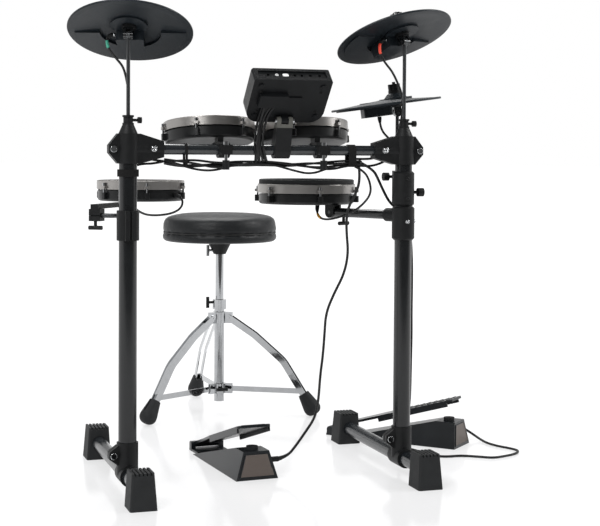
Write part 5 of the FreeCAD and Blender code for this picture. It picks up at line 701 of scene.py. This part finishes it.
# The seam pulls the side in along a narrow band, with small tucks round it
flat = measured(spots) - np.array([*seat["middle"], 0.0])
angle, radius = np.arctan2(flat[:, 1], flat[:, 0]), np.hypot(flat[:, 0], flat[:, 1])
tuck = 1 + sum(share * np.sin(waves * angle + start) for share, waves, start in seat["tucks"])
band = np.exp(-((flat[:, 2] - seat["seam"]) / seat["seamWidth"]) ** 2) * (radius > seat["side"])
pull = seat["seamDepth"] * band * tuck
for height, depth, waves, start in seat["folds"]:
    # A faint fold round the side, which comes and goes and rises and falls a little
    level = height + seat["foldSway"] * np.sin(3 * angle + start)
    band = np.exp(-((flat[:, 2] - level) / seat["foldWidth"]) ** 2) * (radius > seat["foldSide"])
    pull += depth * band * (0.5 + 0.5 * np.sin(waves * angle + start))
spots[:, 0] -= pull * np.cos(angle) / 1000
spots[:, 1] -= pull * np.sin(angle) / 1000
cushion.data.vertices.foreach_set("co", spots.ravel())
cushion.data.update()
cushion.data.polygons.foreach_set("use_smooth", np.ones(len(cushion.data.polygons), bool))
cushion.data.materials.clear()
cushion.data.materials.append(looks["vinyl"])
smoother = cushion.modifiers.new("smooth", "SUBSURF")
smoother.levels = smoother.render_levels = 1
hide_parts("seat")

# Piping: a thin round cord in the seam's crease
seamAngle, cordAngle = fullTurn(piping["steps"])[:, None], fullTurn(piping["sides"])[None, :]
onSeam = (np.abs(flat[:, 2] - seat["seam"]) < piping["band"]) & (radius > seat["side"])
out = radius[onSeam].mean() - seat["seamDepth"] * piping["sunk"] + piping["radius"] * np.cos(cordAngle)
ring = np.stack(np.broadcast_arrays(seat["middle"][0] + out * np.cos(seamAngle),
                                    seat["middle"][1] + out * np.sin(seamAngle),
                                    seat["seam"] + piping["radius"] * np.sin(cordAngle)), axis=-1)
surfaceMesh("seatPiping", ring, "piping", "seat_top", closedAlong=True)
print("seat made")


# Screw heads that the solids leave out: carrying node, body, spot near the surface, axis out of it,
# size against a 14 mm head, look
headProfile = np.array([(8.0, -0.6), (8.0, 1.0), (6.9, 1.3), (6.9, 4.2), (6.3, 5.4), (5.0, 6.0), (3.3, 6.0),
                        (3.1, 3.8), (0.6, 3.6)])
caseSpots = ((-40.0, -59.0, 840.0), (92.0, -59.0, 840.0), (-40.0, -22.0, 801.0), (92.0, -22.0, 801.0))
heads = {
    "armBoltLeft": ("top_clamps", "rack", (-256.5, -15.0, 716.0), (0, -1, 0), 0.95, "chrome"),
    "armBoltRight": ("top_clamps", "rack", (258.5, -15.0, 716.0), (0, -1, 0), 0.95, "chrome"),
    "sleeveBoltFront": ("snare_arm", "snare_arm", (307.5, -25.0, 560.0), (0, -1, 0), 0.6, "chrome"),
    "sleeveBoltSide": ("snare_arm", "snare_arm", (332.0, 0.0, 560.0), (1, 0, 0), 0.6, "chrome"),
    "collarBoltLeft": ("floor_tom_arm", "floor_tom_arm", (-307.5, -24.0, 570.0), (0, -1, 0), 0.55, "nylon"),
    "clampBoltHigh": ("hihat_clamp", "rack", (307.5, -24.0, 654.0), (0, -1, 0), 0.55, "nylon"),
    "clampBoltLow": ("hihat_clamp", "rack", (307.5, -24.0, 610.0), (0, -1, 0), 0.55, "nylon"),
    **{f"caseScrew{number}": ("module_case", "module_case", spot, (0, -0.731, -0.682), 0.42, "dark")
       for number, spot in enumerate(caseSpots, start=1)},
}
bpy.context.view_layer.update()
for name, (node, body, spot, axis, scale, look) in heads.items():
    turned(name, headProfile * scale, onto(node, spot, axis), axis, look, body)

# Sockets of the connector strip: a white ring round one jack and a white port beside it. The strip's face is
# looked for a little to the right of each, beside the hole.
stripAxis = (0.0, -0.682, 0.731)
sockets = {
    "jackRing": {"spot": (-8.2, -70.2, 870.9), "beside": 5.0, "form": {"closed": True},
                 "profile": [(2.0, -0.4), (3.4, -0.4), (3.4, 0.9), (3.0, 1.3), (2.0, 1.1)]},
    "portBlock": {"spot": (11.0, -70.2, 870.9), "beside": 8.5,
                  "form": {"sides": 40, "stretch": (6.6, 4.2, 0.45)},
                  "profile": [(1.0, -0.4), (1.0, 0.8), (0.94, 1.2), (0.86, 1.2), (0.82, 0.3), (0.2, 0.2)]},
}
for name, facts in sockets.items():
    beside = np.array([facts["beside"], 0, 0])
    base = onto("module_case", np.array(facts["spot"]) + beside, stripAxis) - beside
    made = turned(name, facts["profile"], base, stripAxis, "white", "module_case", **facts["form"])


# Pedal front panel: a bare plate with a raised rim on the leaning front face
panel = {"low": 5.0, "high": 55.0, "inset": 6.0, "bottom": 97.0, "top": 60.0, "height": 61.0, "lean": 7.0,
         "rim": 1.6, "floor": 0.5, "slope": 2.4, "border": 2.0, "thickness": 0.0016, "grid": (73, 41)}
pedals = {"kick": {"spot": (-16.0, 30.0), "turn": 4.4}, "hihat": {"spot": (560.0, 226.0), "turn": 43.4}}


def panelPiece(name, facts):
    # Plate as a sheet over (across, upward): half width falls with height, the rim stands proud of the middle
    rows, columns = panel["grid"]
    across, upward = np.meshgrid(np.linspace(-1, 1, rows), np.linspace(0, 1, columns), indexing="ij")
    rise = panel["low"] + (panel["high"] - panel["low"]) * upward
    taper = (panel["bottom"] - panel["top"]) / 2 * rise / panel["height"]
    halfWidth = panel["bottom"] / 2 - taper - panel["inset"]
    edge = np.minimum(halfWidth * (1 - np.abs(across)), np.minimum(rise - panel["low"], panel["high"] - rise))
    proud = panel["floor"] + (panel["rim"] - panel["floor"]) * np.clip(panel["slope"] - edge, 0, 1)
    x, y = across * halfWidth, panel["lean"] * rise / panel["height"] - proud
    turn = math.radians(facts["turn"])
    grid = np.stack([facts["spot"][0] + x * math.cos(turn) - y * math.sin(turn),
                     facts["spot"][1] + x * math.sin(turn) + y * math.cos(turn), rise], axis=-1)
    i, j = np.meshgrid(np.arange(rows - 1), np.arange(columns - 1), indexing="ij")
    corner = (i * columns + j).ravel()
    faces = np.stack([corner, corner + columns, corner + columns + 1, corner + 1], axis=1)
    mesh = bpy.data.meshes.new(name)
    mesh.from_pydata(place(grid.reshape(-1, 3)).tolist(), [], faces.tolist())
    mesh.materials.append(looks["pedal"])
    mesh.materials.append(looks["panel"])
    mesh.polygons.foreach_set("material_index", (edge[:-1, :-1] > panel["border"]).ravel().astype(np.int32))
    mesh.polygons.foreach_set("use_smooth", np.ones(len(corner), bool))
    made = bpy.data.objects.new(name, mesh)
    scene.collection.objects.link(made)
    wall = made.modifiers.new("wall", "SOLIDIFY")
    wall.thickness, wall.offset = panel["thickness"], -1.0
    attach(made, "rack")


for name, facts in pedals.items():
    panelPiece(f"{name}Panel", facts)
print("pieces made")


# Stage: white floor that keeps soft shadows and faint reflections
ground = {"half": 40, "front": -3, "back": 80, "drop": 0.0004, "glowFrom": (0.9, 4.5), "glow": (0.72, 1.05),
          "sheen": 0.2, "sheenRoughness": 0.14, "bounce": (0.8, 0.8, 0.8, 1),
          "shadow": (0.26, 0.26, 0.265, 1)}
white = (1, 1, 1, 1)
floorMesh = bpy.data.meshes.new("floor")
wide, front, rear = ground["half"], ground["front"], ground["back"]
floorCorners = [(-wide, front, 0), (wide, front, 0), (wide, rear, 0), (-wide, rear, 0)]
floorMesh.from_pydata(floorCorners, [], [(0, 1, 2, 3)])
floor = bpy.data.objects.new("floor", floorMesh)
floor.location.z = -ground["drop"]
scene.collection.objects.link(floor)
paper = bpy.data.materials.new("floorWhite")
paper.use_nodes = True
tree = paper.node_tree
tree.nodes.clear()
spot = addNode(tree, "ShaderNodeTexCoord").outputs["Object"]
away = addNode(tree, "ShaderNodeVectorMath", {0: spot}, operation="LENGTH").outputs["Value"]
strength = ranged(tree, away, ground["glowFrom"], ground["glow"])
glow = addNode(tree, "ShaderNodeEmission", {"Color": white, "Strength": strength})
sheen = addNode(tree, "ShaderNodeBsdfGlossy", {"Color": white, "Roughness": ground["sheenRoughness"]})
matt = addNode(tree, "ShaderNodeBsdfDiffuse", {"Color": ground["bounce"]})
faint = addNode(tree, "ShaderNodeBsdfDiffuse", {"Color": ground["shadow"]})
rays = addNode(tree, "ShaderNodeLightPath").outputs
seen = counted(tree, "MAXIMUM", rays["Is Camera Ray"], rays["Is Glossy Ray"])
lit = addNode(tree, "ShaderNodeAddShader", {0: faint.outputs[0], 1: glow.outputs[0]})
top = addNode(tree, "ShaderNodeMixShader", {0: ground["sheen"], 1: lit.outputs[0], 2: sheen.outputs[0]})
both = addNode(tree, "ShaderNodeMixShader", {0: seen, 1: matt.outputs[0], 2: top.outputs[0]})
addNode(tree, "ShaderNodeOutputMaterial", {0: both.outputs[0]})
floorMesh.materials.append(paper)

# Levels: height of the direction against the room's brightness there, for sweep, dark rail and ceiling
room = {"depth": (-0.7, 0.25), "bright": (0.12, 1.0), "fill": 0.75,
        "levels": ((0.0, 1.0), (0.63, 1.0), (0.65, 0.06), (0.71, 0.06), (0.74, 1.0), (0.90, 1.0),
                   (0.95, 0.35))}
world = bpy.data.worlds.new("studio")
world.use_nodes = True
scene.world = world
tree = world.node_tree
way = addNode(tree, "ShaderNodeTexCoord").outputs["Generated"]
axes = addNode(tree, "ShaderNodeSeparateXYZ", {0: way}).outputs
depth = ranged(tree, axes["Y"], room["depth"], room["bright"], interpolation_type="SMOOTHSTEP")
rail = addNode(tree, "ShaderNodeValToRGB", {0: ranged(tree, axes["Z"], (-1.0, 1.0))})
for height, value in room["levels"][1:-1]:
    rail.color_ramp.elements.new(height)
for element, (height, value) in zip(rail.color_ramp.elements, room["levels"]):
    element.position, element.color = height, (value, value, value, 1)
rays = addNode(tree, "ShaderNodeLightPath").outputs
direct = counted(tree, "MAXIMUM", rays["Is Camera Ray"], rays["Is Transmission Ray"])
dimmed = counted(tree, "MULTIPLY", depth, rail.outputs[0])
mirrored = mixed(tree, "FLOAT", rays["Is Glossy Ray"], room["fill"], dimmed)
back = tree.nodes["Background"].inputs
back["Color"].default_value = white
tree.links.new(mixed(tree, "FLOAT", direct, mirrored, 1.0), back["Strength"])

lamps = {
    "keyLamp": {"spot": (-2.4, -2.6, 2.9), "aim": (0.0, -0.2, 0.6), "size": 1.6, "power": 110.0},
    "sideLamp": {"spot": (2.8, -1.2, 2.2), "aim": (0.1, -0.2, 0.6), "size": 1.4, "power": 60.0},
    "topLamp": {"spot": (0.2, 1.6, 3.2), "aim": (0.0, 0.0, 0.5), "size": 2.0, "power": 70.0},
}
for name, facts in lamps.items():
    lamp = bpy.data.lights.new(name, "AREA")
    lamp.energy = facts["power"]
    lamp.size = facts["size"]
    holder = bpy.data.objects.new(name, lamp)
    holder.location = facts["spot"]
    holder.rotation_euler = (Vector(facts["aim"]) - Vector(facts["spot"])).to_track_quat("-Z", "Y").to_euler()
    scene.collection.objects.link(holder)

# Camera fitted to the photograph: focal length and heights in pixels of a frame 600 pixels wide and 526 high,
# angles in degrees
view = {"spot": (-884.3, -2880.7, 707.8), "yaw": 18.283, "pitch": 1.885, "roll": 0.357, "focal": 1409.8,
        "middle": 200.0, "frameMiddle": 263.0, "frameWidth": 600.0, "sensor": 36.0, "clipEnd": 150.0}
lens = bpy.data.cameras.new("photoCamera")
lens.sensor_fit = "HORIZONTAL"
lens.sensor_width = view["sensor"]
lens.lens = view["focal"] / view["frameWidth"] * view["sensor"]
lens.shift_y = (view["middle"] - view["frameMiddle"]) / view["frameWidth"]
lens.clip_end = view["clipEnd"]
camera = bpy.data.objects.new("photoCamera", lens)
camera.location = placeOne(view["spot"])
yaw, pitch, roll = (Matrix.Rotation(math.radians(angle), 4, axis) for angle, axis in (
    (-view["yaw"], "Z"), (90 - view["pitch"], "X"), (view["roll"], "Z")))
camera.rotation_euler = (yaw @ pitch @ roll).to_euler()
scene.collection.objects.link(camera)
scene.camera = camera
scene.view_settings.view_transform = "Standard"
print("stage set")
